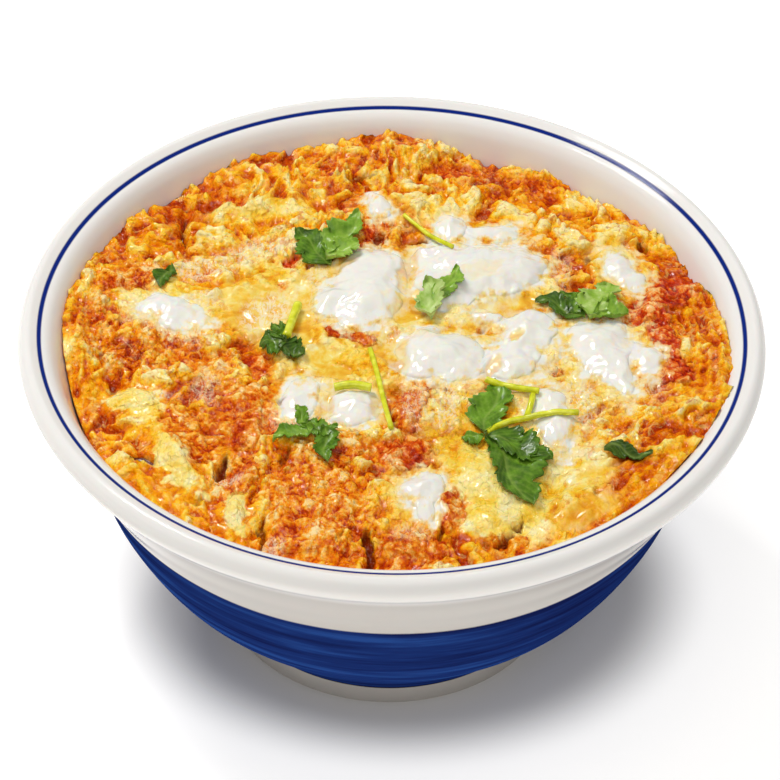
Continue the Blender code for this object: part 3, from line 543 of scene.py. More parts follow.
def shown(where):
    """1 where a slice's crust stands out of the egg, 0 where the egg covers it."""
    return ease(where["crust"] * 1.6 - 0.35)


def laid_out(x, y):
    """The patchwork with the whites and curds added: how far each place is inside them, and how near."""
    where = patchwork(x, y)
    (white, white_rise), (curd, curd_rise) = depth_inside(x, y, "white"), depth_inside(x, y, "curd")
    where["depth"] = np.maximum(white, curd)
    where["rise"] = np.where(white > curd, white_rise, curd_rise)
    where["near"] = ease(where["depth"] / NEAR_SHEET + 1)
    ragged = EDGE_WANDER * swells(x, y, EDGE_SIZE, 55, 3, 0.7)
    where["white"] = ease((white + ragged + WHITE_EDGE) / (2 * WHITE_EDGE))
    where["curd"] = ease((curd + ragged + CURD_EDGE) / (2 * CURD_EDGE))
    where["crust"] = where["crust"] * (1 - ease((where["depth"] + 1.0) / 2.0))
    return where


def skin(x, y, where):
    """The food's uncovered top: heap and relief, with the sheets' thickness on them, less the holes."""
    relief, crown = set_egg(x, y, where)
    crumbs, crumb_crown = crumb(x, y)
    crust, depth = where["crust"], where["depth"]
    top = heap_height(x, y) + relief * (1 - 0.7 * crust) + 0.9 * crumbs * crust
    top = top + CRUST_RISE * crust * (2 * ease(over_slices(x, y) / 3.0) - 1)
    sheet = where["rise"] * ease((depth - SHEET_START) / SHEET_SLOPE)
    bumps, ripples = swells(x, y, SHEET_BUMPS[1], 61), swells(x, y, SHEET_RIPPLES[1], 62)
    top = top + sheet + (SHEET_BUMPS[0] * bumps + SHEET_RIPPLES[0] * ripples) * ease(depth / 4 + 0.5)
    top = top - HOLE_DEPTH * where["hole"] ** 1.5 - YOLK_DEPTH * where["yolk"]
    return top, crown * (1 - crust) + crumb_crown * crust


def over_slices(x, y):
    """How far a place is inside the nearest slice's outline, in mm."""
    return np.max([inside_slice(x, y, one) for one in SLICES], axis=0)


def egg_surface(x, y, where):
    """The bed's top: the skin, sunk a little where a slice or a sheet lies, and where broth stands."""
    top, crown = skin(x, y, where)
    top = top - LAYER_DIP * ease(over_slices(x, y) / SLICE_BLEND) * shown(where)
    top = top - LAYER_DIP * ease((where["depth"] + SHEET_BLEND) / (2 * SHEET_BLEND))
    pool = ease((1.1 + 0.35 * swells(x, y, 3.0, 25) - oval(x, y, BROTH_SLIT)) / 0.5)
    return top + pool * (BROTH_LEVEL - BROTH_SLIT_DEPTH - top), crown


def slice_surface(x, y, where, inside):
    """A slice's top: the skin where its crumb shows, lower at its edge, and under the egg elsewhere."""
    top, crown = skin(x, y, where)
    return top - LAYER_DIP * (1 - ease(inside / SLICE_BLEND)) - SLICE_COVER * (1 - shown(where)), crown


middle = np.zeros(1)
print("the skin's height in the middle, in mm:", skin(middle, middle, laid_out(middle, middle))[0].round(1))

# %% [markdown]
# ## The egg bed
#
# The bed is one soft body that fills the bowl under everything else. Its top is a square grid pressed
# into a disc: rows near the middle stay square and the outermost row becomes the circle, so every cell is
# nearly the same size, which a grid of rings and spokes can't give. Its side follows the bowl's inside
# down to the floor.

# %% A square grid pressed into a disc
def disc_grid(cells):
    """Share of the radius and angle of a square grid's points. Squares round the middle become circles."""
    a, b = np.meshgrid(np.linspace(-1, 1, cells + 1), np.linspace(-1, 1, cells + 1), indexing="ij")
    wide = np.abs(a) > np.abs(b)
    safe_a, safe_b = np.where(a == 0, 1, a), np.where(b == 0, 1, b)
    share = np.where(wide, a, b)
    angle = np.where(wide, math.pi / 4 * b / safe_a, math.pi / 2 - math.pi / 4 * a / safe_b)
    x, y = share * np.cos(angle), share * np.sin(angle)
    return np.hypot(x, y), np.arctan2(y, x)


print("radii along a grid of 4 cells:", disc_grid(4)[0][2].round(2))

# %% The bed's shape
# The bowl's inside as (radius, height), from the middle up to the rim's crest
INNER_PROFILE = (
    (0.0, 11.0), (24.0, 12.0), (42.0, 18.0), (55.0, 30.0), (64.0, 45.0), (69.6, 57.0),
    (74.3, 66.4), (76.7, 75.4), (77.4, 77.8), (78.1, 79.9), (78.85, 81.8), (79.6, 83.1), (80.55, 84.25),
    (81.6, 84.95), (83.03, 85.4), (84.2, 86.05), (85.4, 86.57),
)
BED_CELLS = 300
# Free space left at the wall and over the floor, and the levels of the bed's rings as shares of its height
WALL_GAP = 0.25
FLOOR_GAP = 0.6
BED_RINGS = (0.985, 0.9, 0.6, 0.3, 0.04)


def inner_radius(height):
    """The bowl's inner radius at a height, along straight lines between the profile's points."""
    radii, heights = np.transpose(INNER_PROFILE)
    return np.interp(height, heights, radii)


def bed_body():
    """The bed's points and faces, and the fields that its material reads."""
    share, theta = disc_grid(BED_CELLS)
    unit = np.dstack([np.cos(theta), np.sin(theta)])
    rim = heap_height(*(WALL_RADIUS * np.moveaxis(unit, -1, 0)))
    x, y = np.moveaxis(unit * (share * (inner_radius(rim) - WALL_GAP))[..., None], -1, 0)
    where = laid_out(x, y)
    z, crown = egg_surface(x, y, where)
    top = np.dstack([x, y, z])
    edge = sheet_edge(np.arange(share.size).reshape(share.shape))
    border, way = top.reshape(-1, 3)[edge], unit.reshape(-1, 2)[edge]
    floor = INNER_PROFILE[0][1] + FLOOR_GAP
    rings = []
    for part in BED_RINGS:
        level = floor + part * (border[:, 2] - floor)
        rings.append(np.column_stack([way * (inner_radius(level) - WALL_GAP)[:, None], level]))
    points, faces = close_below(top, rings)
    return points, faces, food_fields(where, crown)


print("the bowl's inside, 76 mm up, is this wide in mm:", round(2 * float(inner_radius(76.0)), 1))

# %% [markdown]
# ## Finishes
#
# A finish is a small network of nodes on a Principled shader. One helper adds any node with its settings
# and what feeds it. Colours are written as on a screen, as sRGB hex, and turned to the linear values that
# light is worked out in.

# %% Colours and nodes
def linear(code):
    """An sRGB hex colour as linear red, green, blue and a full alpha."""
    channels = [int(code[i : i + 2], 16) / 255 for i in (0, 2, 4)]
    return (*[c / 12.92 if c <= 0.04045 else ((c + 0.055) / 1.055) ** 2.4 for c in channels], 1.0)


# Each recipe: a node's kind, its settings, the sockets to feed in order, and the output that others read
TIMES = ("Math", {"operation": "MULTIPLY"}, (0, 1), 0)
TIMES_PLUS = ("Math", {"operation": "MULTIPLY_ADD"}, (0, 1, 2), 0)
LESS = ("Math", {"operation": "SUBTRACT"}, (0, 1), 0)
LARGER = ("Math", {"operation": "MAXIMUM"}, (0, 1), 0)
SIZE_OF = ("Math", {"operation": "ABSOLUTE"}, (0,), 0)
LENGTH = ("VectorMath", {"operation": "LENGTH"}, (0,), "Value")
RANGE_SOCKETS = ("Value", "From Min", "From Max", "To Min", "To Max")
STEP = ("MapRange", {"interpolation_type": "SMOOTHSTEP"}, RANGE_SOCKETS, 0)
RAMP = ("ValToRGB", {}, (0,), 0)
OVER = ("Mix", {"data_type": "RGBA"}, (0, 6, 7), 2)
NOISE = ("TexNoise", {}, ("Vector", "Scale", "Detail", "Roughness", "Distortion"), "Fac")
FIELD = ("Attribute", {}, (), "Fac")
PLACE = ("TexCoord", {}, (), "Object")
MAPPED = ("Mapping", {}, ("Vector", "Scale", "Location"), 0)
SPLIT = ("SeparateXYZ", {}, (0,), "Z")
BUMP = ("Bump", {}, ("Height", "Strength", "Distance"), 0)


def feed(node, inputs):
    """Gives each named input of a node its value, or links it to the output that feeds it."""
    for key, value in inputs.items():
        if isinstance(value, bpy.types.NodeSocket):
            node.id_data.links.new(value, node.inputs[key])
        else:
            node.inputs[key].default_value = value


def add_node(tree, recipe, *feeds, stops=(), **settings):
    """A node made by its recipe and fed in order. `stops` fill a colour ramp. Returns the output to read."""
    kind, usual, sockets, output = recipe
    made = tree.nodes.new("ShaderNode" + kind)
    for name, value in {**usual, **settings}.items():
        setattr(made, name, value)
    feed(made, dict(zip(sockets, feeds)))
    if stops:
        elements = made.color_ramp.elements
        for element, (place, code) in zip(elements, (stops[0], stops[-1])):
            element.position, element.color = place, linear(code)
        for place, code in stops[1:-1]:
            elements.new(place).color = linear(code)
    return made.outputs[output]


def summed(node, base, *parts):
    """A base, plus a share of each further value."""
    for share, value in parts:
        base = node(TIMES_PLUS, value, share, base)
    return base


def laid_over(node, below, *layers):
    """A colour with others laid over it. Each layer: (value, where it comes in and how far, hex colour)."""
    for value, steps, code in layers:
        below = node(OVER, node(STEP, value, *steps), below, linear(code))
    return below


def new_finish(name, **surface):
    """A material whose shader has these values, that shader, and the function that adds nodes beside it."""
    material = bpy.data.materials.new(name)
    material.use_nodes = True
    shader = material.node_tree.nodes["Principled BSDF"]
    feed(shader, {key.replace("_", " "): value for key, value in surface.items()})
    return material, shader, partial(add_node, material.node_tree)


def per_metre(millimetres):
    """A texture's scale for a pattern of this size, because Object coordinates are in metres."""
    return 1 / (millimetres * MM)


print("screen grey 808080 in linear light:", round(linear("808080")[0], 3))

# %% [markdown]
# ## Cooked egg and simmered crumb
#
# Beaten egg that sets in sweet soy broth is orange where the broth got into it and butter yellow where it
# stands clear, and it stays wet, so its crowns glint. Breadcrumb that simmered with it turned brown and
# glossy. On top of their own colours, both are painted lighter on their crowns and darker and redder in their
# creases and pits, as painted light and shade. Both come from one network that reads the fields of each
# vertex, so that egg and crumb change into each other without a seam. Light goes a few millimetres into egg,
# which keeps its creases glowing instead of grey.

# %% One network for egg and crumb
EGG_STOPS = (
    (0.0, "A42A00"), (0.16, "D05400"), (0.32, "EA8600"), (0.5, "F6A608"), (0.66, "FCC42C"), (0.82, "FEDE70"),
    (1.0, "FEEAA8"),
)
FILM_STOPS = (
    (0.0, "DE9208"), (0.2, "EFB41C"), (0.38, "F6CA3E"), (0.58, "FADD74"), (0.78, "FCE9A2"), (1.0, "FDF2C6"),
)
CRUST_STOPS = (
    (0.0, "9C2200"), (0.18, "C84400"), (0.35, "E26E02"), (0.5, "EE8A0C"), (0.66, "F6A628"), (0.82, "FAC25C"),
    (1.0, "FCDC9C"),
)
TOAST_STOPS = (
    (0.0, "8C1400"), (0.25, "B62602"), (0.45, "D03C04"), (0.6, "E05E10"), (0.78, "F08E34"), (1.0, "FBC67E"),
)
YOLK_STOPS = (
    (0.0, "D98A10"), (0.3, "ECAE1C"), (0.5, "F1C640"), (0.7, "F5DC78"), (0.9, "F7E9AE"), (1.0, "F8EFC8"),
)
FIELDS = ("tone", "crown", "crust", "toast", "yolk", "milky", "hole", "film", "sponge", "white", "curd")


# Each noise: (size in mm, detail, roughness, twist). Real bubbles and shreds are finer than 0.8 mm: these are
# drawn as coarse as they need to be to show
NOISES = {
    "fine": (0.8, 4.0, 0.7, 0.0), "grain": (1.4, 5.0, 0.7, 0.6), "flakes": (3.0, 5.0, 0.62, 1.0),
    "broad": (6.5, 3.0, 0.55, 0.8), "strands": (1.3, 4.0, 0.7, 1.5), "liquid": (2.2, 2.0, 0.55, 0.0),
    "droplets": (1.2, 1.0, 0.5, 0.5),
}
# Strands are drawn out about three times from front to back
STRAND_SCALE = (1.0, 0.35, 1.0)


def all_noises(node):
    """Each noise of the table, less 0.5, so that it swings about 0."""
    place = node(PLACE)
    drawn_out = node(MAPPED, place, STRAND_SCALE)
    found = {}
    for name, (size, *shape) in NOISES.items():
        where = drawn_out if name == "strands" else place
        found[name] = node(LESS, node(NOISE, where, per_metre(size), *shape), 0.5)
    return found


def egg_colour(node, field, noise):
    """Set egg by its tone, with pale and dark flakes, and over it the thinner film of half-set egg."""
    coarse = node(TIMES_PLUS, field["sponge"], 0.8, 0.8)
    grain, fine = node(TIMES, noise["grain"], coarse), node(TIMES, noise["fine"], coarse)
    egg = node(RAMP, summed(node, field["tone"], (0.8, grain), (0.4, fine)), stops=EGG_STOPS)
    flakes = noise["flakes"]
    pale, dark = (flakes, (0.05, 0.13, 0, 0.4), "FDD670"), (flakes, (-0.05, -0.14, 0, 0.6), "CE5600")
    egg = laid_over(node, egg, pale, dark)
    # The film is lighter on crowns and darker in creases: painted light and shade
    light = summed(node, -0.06, (1.1, field["crown"]), (1.5, noise["broad"]), (0.5, noise["grain"]))
    film = laid_over(node, node(RAMP, light, stops=FILM_STOPS), (flakes, (-0.05, -0.13, 0, 0.6), "E88C10"))
    share = node(TIMES, field["film"], node(STEP, noise["broad"], -0.2, 0.05, 0.35, 1.0))
    return node(OVER, share, egg, film)


def crumb_colour(node, field, noise, below):
    """Crumb over what is below it, redder where it is toasted, with flecks, dark flakes and pale sponge."""
    shares = {"grain": 1.2, "broad": 0.9, "fine": 0.8}
    # Crumb is lighter on crowns and darker in creases: painted light and shade over its own brown
    light = summed(node, -0.24, (1.45, field["crown"]), *((shares[one], noise[one]) for one in shares))
    brown, red = node(RAMP, light, stops=CRUST_STOPS), node(RAMP, light, stops=TOAST_STOPS)
    crumbs = node(OVER, field["toast"], brown, red)
    untoasted = node(STEP, field["toast"], 0.0, 1.0, 1.0, 0.2)
    flecks = node(STEP, summed(node, noise["flakes"], (0.5, noise["fine"])), 0.1, 0.22, 0.0, 0.5)
    crumbs = node(OVER, node(TIMES, flecks, untoasted), crumbs, linear("FBCB80"))
    crumbs = laid_over(node, crumbs, (noise["flakes"], (-0.04, -0.13, 0, 0.5), "BE3200"))
    crumbs = node(OVER, field["crust"], below, crumbs)
    sponge = node(TIMES, node(TIMES, field["sponge"], untoasted), node(STEP, noise["strands"], 0.05, 0.16))
    # Pale sponge strands show most on crowns, which is partly painted light
    pale = node(TIMES, sponge, node(STEP, field["crown"], 0.35, 0.7, 0.2, 0.7))
    return node(OVER, pale, crumbs, linear("FADCA4"))


def sheet_colour(node, field, noise, below):
    """Yolk, milky egg, curd and white over what is below, each with a ragged edge, and last the holes,
    painted dark brown as the shade inside them.
    """
    yolk = node(RAMP, summed(node, 0.48, (1.9, noise["broad"]), (0.5, noise["grain"])), stops=YOLK_STOPS)
    mixed = node(OVER, field["yolk"], below, yolk)
    ragged = node(STEP, summed(node, noise["strands"], (0.5, noise["grain"])), -0.06, 0.08, 0.1, 1.1)
    mixed = node(OVER, node(TIMES, field["milky"], ragged), mixed, linear("F6E6C6"))
    curd = node(RAMP, summed(node, 0.58, (1.4, noise["broad"]), (0.5, noise["grain"])), stops=FILM_STOPS)
    mixed = node(OVER, node(STEP, field["curd"], 0.1, 0.6), mixed, curd)
    white = summed(node, field["white"], (0.7, summed(node, noise["strands"], (0.8, noise["broad"]))))
    mixed = laid_over(node, mixed, (white, (0.05, 0.4, 0, 0.8), "F4DC9C"), (white, (0.35, 0.8), "EFECE2"))
    thin = node(TIMES, node(STEP, noise["broad"], 0.06, 0.2, 0.0, 0.5), field["white"])
    mixed = node(OVER, thin, mixed, linear("F6E2AE"))
    stain = node(TIMES, node(TIMES, field["yolk"], field["white"]), 0.8)
    mixed = node(OVER, stain, mixed, yolk)
    # Painted shade: the insides of the holes are dark brown
    hole = summed(node, field["hole"], (0.6, noise["grain"]))
    return laid_over(node, mixed, (hole, (0.15, 1.0), "7A2402"))


def cooked_finish(name, depth_of_light):
    """The colours laid over each other by their fields. Yolk, white and drops of liquid are wettest."""
    material, shader, node = new_finish(
        name, Subsurface_Weight=depth_of_light, Subsurface_Scale=1.4 * MM, Subsurface_Radius=(1.0, 0.5, 0.2),
        Coat_Roughness=0.04, IOR=1.35,
    )
    field = {one: node(FIELD, attribute_name=one) for one in FIELDS}
    noise = all_noises(node)
    food = crumb_colour(node, field, noise, egg_colour(node, field, noise))
    wet = node(LARGER, field["yolk"], field["white"])
    liquid = node(STEP, noise["liquid"], 0.04, 0.12)
    wettest = node(LARGER, liquid, wet)
    texture = node(TIMES, node(STEP, wet, 0.0, 0.8, 1.0, 0.05), node(STEP, liquid, 0.0, 1.0, 1.0, 0.4))
    feed(shader, {
        "Base Color": sheet_colour(node, field, noise, food),
        "Roughness": node(STEP, wet, 0.0, 1.0, 0.13, 0.1),
        "Specular IOR Level": node(STEP, wettest, 0.0, 1.0, 0.16, 0.7),
        "Coat Weight": node(STEP, wettest, 0.0, 1.0, 0.0, 0.4),
        "Normal": node(BUMP, noise["droplets"], texture, 1.0 * MM),
    })
    return material


def egg_tone(where, crown):
    """How light the egg is: painted lighter on its crowns and darker in its creases as painted light and
    shade, cream curds lighter still, and darker by the wall.
    """
    return np.clip(0.44 + 1.25 * (crown - 0.5) + 0.36 * where["cream"] - 0.08 * where["amber"], 0.02, 0.98)


def food_fields(where, crown):
    """The fields that the network reads, worked out of the layout and the crowns."""
    found = {**where, "crown": crown, "tone": egg_tone(where, crown)}
    return {one: found[one] for one in FIELDS}


# Light goes a little way into soft egg, so its creases glow orange instead of turning grey
egg_finish = cooked_finish("soft_set_egg", 0.25)
# Crumb is denser, so its grain stays crisp and its creases brown
crumb_finish = cooked_finish("simmered_breadcrumb", 0.15)
# White lets in the most light, which smooths its shading to that of milk
white_finish = cooked_finish("set_egg_white", 0.45)
curd_finish = cooked_finish("pale_egg_curd", 0.35)

points, faces, fields = bed_body()
add_piece("egg_bed_soft", points, faces, egg_finish, "soft_egg", ["egg_bed"], fields)

# %% [markdown]
# ## Cutlet slices
#
# The cutlet was cut in bars before it went under the egg, and the bars still lie side by side. Each is a
# bar with a rounded outline that narrows downwards like the bowl. Its top is the crumb's relief where it
# shows, and sinks under the egg elsewhere.

# %% Seven slices
SLICE_CELL = 0.42
SLICE_FLOOR = 64.5
SLICE_TAPER = 0.93
SLICE_END_NARROWING = 0.35
SLICE_END_POWER = 9


def slice_body(slice_shape):
    """A strip's grid, narrower towards its ends by a high power, and its outline drawn in below."""
    front, back = np.array(slice_shape[0], float), np.array(slice_shape[1], float)
    width, length = slice_shape[2], np.linalg.norm(back - front)
    along = (back - front) / length
    across = np.array([along[1], -along[0]])
    rows, columns = round(length / SLICE_CELL), round(width / SLICE_CELL)
    u, v = np.meshgrid(np.linspace(-1, 1, rows + 1), np.linspace(-1, 1, columns + 1), indexing="ij")
    half_width = width / 2 * (1 - SLICE_END_NARROWING * np.abs(u) ** SLICE_END_POWER)
    flat = (front + back) / 2 + (u * length / 2)[..., None] * along + (v * half_width)[..., None] * across
    x, y = flat[..., 0], flat[..., 1]
    where = laid_out(x, y)
    inside = np.minimum(length / 2 * (1 - np.abs(u)), half_width * (1 - np.abs(v)))
    z, crown = slice_surface(x, y, where, inside)
    top = np.dstack([flat, z])[:, ::-1]
    border = border_of(top)
    under = np.column_stack([border[:, :2] * SLICE_TAPER, np.full(len(border), SLICE_FLOOR)])
    points, faces = close_below(top, [under])
    fields = {name: values[:, ::-1] for name, values in food_fields(where, crown).items()}
    return points, faces, fields


for number, slice_shape in enumerate(SLICES, start=1):
    points, faces, fields = slice_body(slice_shape)
    name = f"cutlet_slice_{number}"
    add_piece(f"{name}_crumbed", points, faces, crumb_finish, "cutlet_crust", [name], fields)


# %% [markdown]
# ## Whites and curds on the bed
#
# Set egg white is smooth and dense, a flat sheet that follows what it lies on and thins out to nothing.
# Its colour is worked out from the same fields as the bed's, so that where a white dips under the egg the
# two have one colour, and no line shows.

# %% Shape of a patch
PATCH_CELL = 0.42
PATCH_MARGIN = 2.8
# How far a patch's border sinks into the bed, and over what width
PATCH_SINK, PATCH_SINK_WIDTH = 2.2, 2.6
# The underside's outline as a share of the border's, and how far it is below it
PATCH_TAPER, PATCH_THICKNESS = 0.9, 0.4
TURNS = np.linspace(-math.pi, math.pi, 361)


def patch_height(top, depth, from_border):
    """The skin, and under it outside the sheet, so that bed and sheet cross at a slant and no edge shows."""
    below = LAYER_DIP * ease((SHEET_BLEND - depth) / (2 * SHEET_BLEND))
    return top - below - PATCH_SINK * (1 - ease(from_border / PATCH_SINK_WIDTH))


def patch_body(name):
    """A disc of squares stretched to its lobes' reach and a margin, a ring below it, and the underside."""
    middle = np.array(PATCHES[name][0], float)
    outline = lobe_reach(TURNS, PATCHES[name][2]) + PATCH_MARGIN
    share, theta = disc_grid(round(2 * outline.mean() / PATCH_CELL))
    border_reach = np.interp(theta, TURNS, outline)
    x, y = middle[0] + share * border_reach * np.cos(theta), middle[1] + share * border_reach * np.sin(theta)
    where = laid_out(x, y)
    skin_top, crown = skin(x, y, where)
    top = np.dstack([x, y, patch_height(skin_top, where["depth"], (1 - share) * border_reach)])
    border = border_of(top)
    flat = middle + PATCH_TAPER * (border[:, :2] - middle)
    under = np.column_stack([flat, border[:, 2] - PATCH_THICKNESS])
    points, faces = close_below(top, [under])
    return points, faces, food_fields(where, crown)


for name in PATCHES:
    points, faces, fields = patch_body(name)
    finish, slot = (white_finish, "egg_white") if "white" in name else (curd_finish, "egg_curd")
    add_piece(f"{name}_soft", points, faces, finish, slot, [name], fields)

# %% [markdown]
# ## The broth
#
# A spoonful of broth stands by the wall where the egg left a hollow. It lies dead level, climbs a little
# where it meets the egg, and its surface is the smoothest in the bowl.

# %% Pool of broth
BROTH_DEPTH = 4.0
# How far the disc reaches past the oval, how much its edge climbs, and the share of it that its floor covers
BROTH_SPREAD = 1.15
BROTH_CLIMB = 0.45
BROTH_TAPER = 0.7
BROTH_CELLS = 36


def broth_body():
    """An oval disc, level in the middle and raised at its edge, with its wall and floor below."""
    share, theta = disc_grid(BROTH_CELLS)
    c, s = turned(BROTH_POOL[4])
    along = share * BROTH_SPREAD * BROTH_POOL[2] * np.cos(theta)
    across = share * BROTH_SPREAD * BROTH_POOL[3] * np.sin(theta)
    x, y = BROTH_POOL[0] + c * along - s * across, BROTH_POOL[1] + s * along + c * across
    top = np.dstack([x, y, BROTH_LEVEL + BROTH_CLIMB * share**14])
    border = border_of(top)
    middle = np.array(BROTH_POOL[:2])
    flat = middle + BROTH_TAPER * (border[:, :2] - middle)
    floor_ring = np.column_stack([flat, border[:, 2] - BROTH_DEPTH])
    return close_below(top, [floor_ring])


# Dark clear broth: almost black brown, with a sharp mirror of the lamps
broth_finish = new_finish("soy_dashi_broth", Base_Color=linear("5E2004"), Roughness=0.04, IOR=1.34)[0]
add_piece("broth_pool", *broth_body(), broth_finish, "broth", ["broth"])

# %% [markdown]
# ## What the garnish lies on
#
# Leaves are laid on the finished food, so their height is read from all the surfaces below them: the bed,
# the slices and the whites, whichever is highest.

# %% Height of the finished food
def food_top(x, y):
    """The highest of bed, slices and whites at each place."""
    where = laid_out(x, y)
    height, skin_top = egg_surface(x, y, where)[0], skin(x, y, where)[0]
    for one in SLICES:
        inside = inside_slice(x, y, one)
        height = np.where(inside > 0, np.maximum(height, slice_surface(x, y, where, inside)[0]), height)
    for middle, _, lobes in PATCHES.values():
        dx, dy = x - middle[0], y - middle[1]
        border_reach = np.interp(np.arctan2(dy, dx), TURNS, lobe_reach(TURNS, lobes) + PATCH_MARGIN)
        from_border = border_reach - np.hypot(dx, dy)
        patch = patch_height(skin_top, where["depth"], from_border)
        height = np.where(from_border > 0, np.maximum(height, patch), height)
    return height


def resting_height(x, y, reach):
    """The highest food within a reach of each place: the place itself and eight round it."""
    ways = [(0, 0), *[(math.cos(a), math.sin(a)) for a in np.arange(8) * math.pi / 4]]
    return np.max([food_top(x + dx * reach, y + dy * reach) for dx, dy in ways], axis=0)


# %% [markdown]
# ## Mitsuba leaves
#
# A mitsuba leaf has three toothed leaflets on a slim stalk. Laid on hot egg they wilt, fold along the rib
# and cling to what is under them. A blade is a grid along and across its rib: its width follows a sine,
# its margin is sawn into teeth that point to the tip, and its two halves lift a little from the rib.

# %% Blades of the leaves
# Each leaf: (base, tip, width on the left, width on the right, lift of the halves, lightness, height above)
LEAVES = {
    "mitsuba_leaf_1": (
        ((-15.2, 27.5), (-23.6, 37.4), 5.6, 4.6, 0.8, 0.35, 0.0),
        ((-15.8, 30.0), (-8.4, 45.0), 5.0, 3.2, 1.0, 0.6, 0.5),
        ((-16.4, 28.6), (-8.6, 34.4), 4.0, 4.6, 1.0, 0.75, 0.9),
    ),
    "mitsuba_leaf_2": (
        ((9.2, 7.0), (8.4, 18.6), 3.8, 4.0, 1.8, 0.9, 0.6),
        ((10.0, 11.4), (15.6, 23.6), 2.2, 3.6, 0.8, 0.65, 0.2),
    ),
    "mitsuba_leaf_3": (
        ((-24.6, -3.6), (-31.2, -3.8), 4.4, 4.4, 0.8, 0.2, 0.4),
        ((-25.0, -3.6), (-28.2, 4.0), 3.0, 2.0, 0.6, 0.25, 0.6),
        ((-25.6, -3.0), (-26.4, 4.2), 1.4, 1.6, 0.5, 0.3, 0.9),
        ((-26.8, -5.4), (-20.4, -6.8), 6.0, 2.4, 0.8, 0.1, 0.2),
    ),
    "mitsuba_leaf_4": (
        ((-17.4, -32.6), (-27.0, -35.6), 2.4, 3.0, 0.9, 0.55, 0.5),
        ((-20.8, -31.8), (-12.0, -33.0), 3.4, 3.4, 0.9, 0.4, 0.3),
        ((-15.2, -32.0), (-14.4, -43.4), 3.4, 3.0, 0.8, 0.35, 0.6),
        ((-19.2, -31.6), (-21.8, -25.6), 1.8, 2.0, 0.9, 0.55, 0.8),
    ),
    "mitsuba_leaf_5": (
        ((45.8, 8.8), (34.2, 16.0), 3.0, 4.6, 0.8, 0.15, 0.2),
        ((44.6, 9.4), (40.2, 18.2), 1.6, 3.0, 0.7, 0.3, 0.5),
    ),
    "mitsuba_leaf_6": (
        ((46.8, 8.0), (51.6, 21.6), 5.4, 5.0, 1.2, 0.8, 0.5),
        ((47.4, 8.2), (56.2, 9.6), 6.0, 1.4, 0.9, 0.6, 0.9),
    ),
    "mitsuba_leaf_7": (((21.8, -31.8), (24.9, -14.6), 5.6, 4.8, 0.8, 0.45, 0.4),),
    "mitsuba_leaf_8": (
        ((22.0, -32.6), (32.2, -54.0), 10.4, 4.4, 0.9, 0.3, 0.3),
        ((22.4, -32.8), (37.2, -40.0), 6.6, 4.4, 0.8, 0.25, 0.7),
    ),
    "mitsuba_leaf_9": (((21.6, -32.6), (16.4, -33.4), 3.6, 1.0, 0.4, 0.5, 0.4),),
    "mitsuba_leaf_10": (((-53.6, 25.4), (-56.0, 17.0), 2.2, 3.0, 0.4, 0.2, 0.0),),
    "mitsuba_leaf_11": (((49.0, -37.2), (60.0, -40.0), 1.8, 1.8, 0.3, 0.0, 0.0),),
}
BLADE_ROWS = 90
BLADE_COLUMNS = 22
BLADE_TEETH = 9
TOOTH_DEPTH = 0.2
BLADE_LOBES = 2.6
LOBE_DEPTH = 0.3
# Where the notches between lobes come along the blade, how far left and right differ, and a notch's width
NOTCH_START, NOTCH_OFFSET, NOTCH_WIDTH = 0.45, 0.2, 0.13
# How far the margin leans to the tip, how far the rib bends aside, and in how many half waves
MARGIN_LEAN, RIB_BEND, RIB_WAVES = 0.4, 0.05, 2.2
# Heights in mm of the wilted blade's ripples, of those along its margin, and of the veins pressed into it
BLADE_RIPPLE, MARGIN_RIPPLE, VEIN_DEPTH = 0.3, 0.12, 0.12
# The rib's width in mm, and how strongly the side veins show, how far they slant and how narrow they are
RIB_WIDTH, SIDE_VEINS, VEIN_SLANT, VEIN_NARROWNESS = 0.3, 0.65, 0.32, 6
# A blade spans the food within this reach, evened this many times, and lies this far above it
LEAF_SPAN, LEAF_EVENING, LEAF_GAP = 0.7, 14, 0.45
LEAF_THICKNESS = 0.35


def evened(height, times):
    """A grid of heights averaged with its neighbours along both ways."""
    for _ in range(times):
        padded = np.pad(height, 1, mode="edge")
        height = (padded[:-2, 1:-1] + padded[2:, 1:-1] + padded[1:-1, :-2] + padded[1:-1, 2:]) / 4
    return height


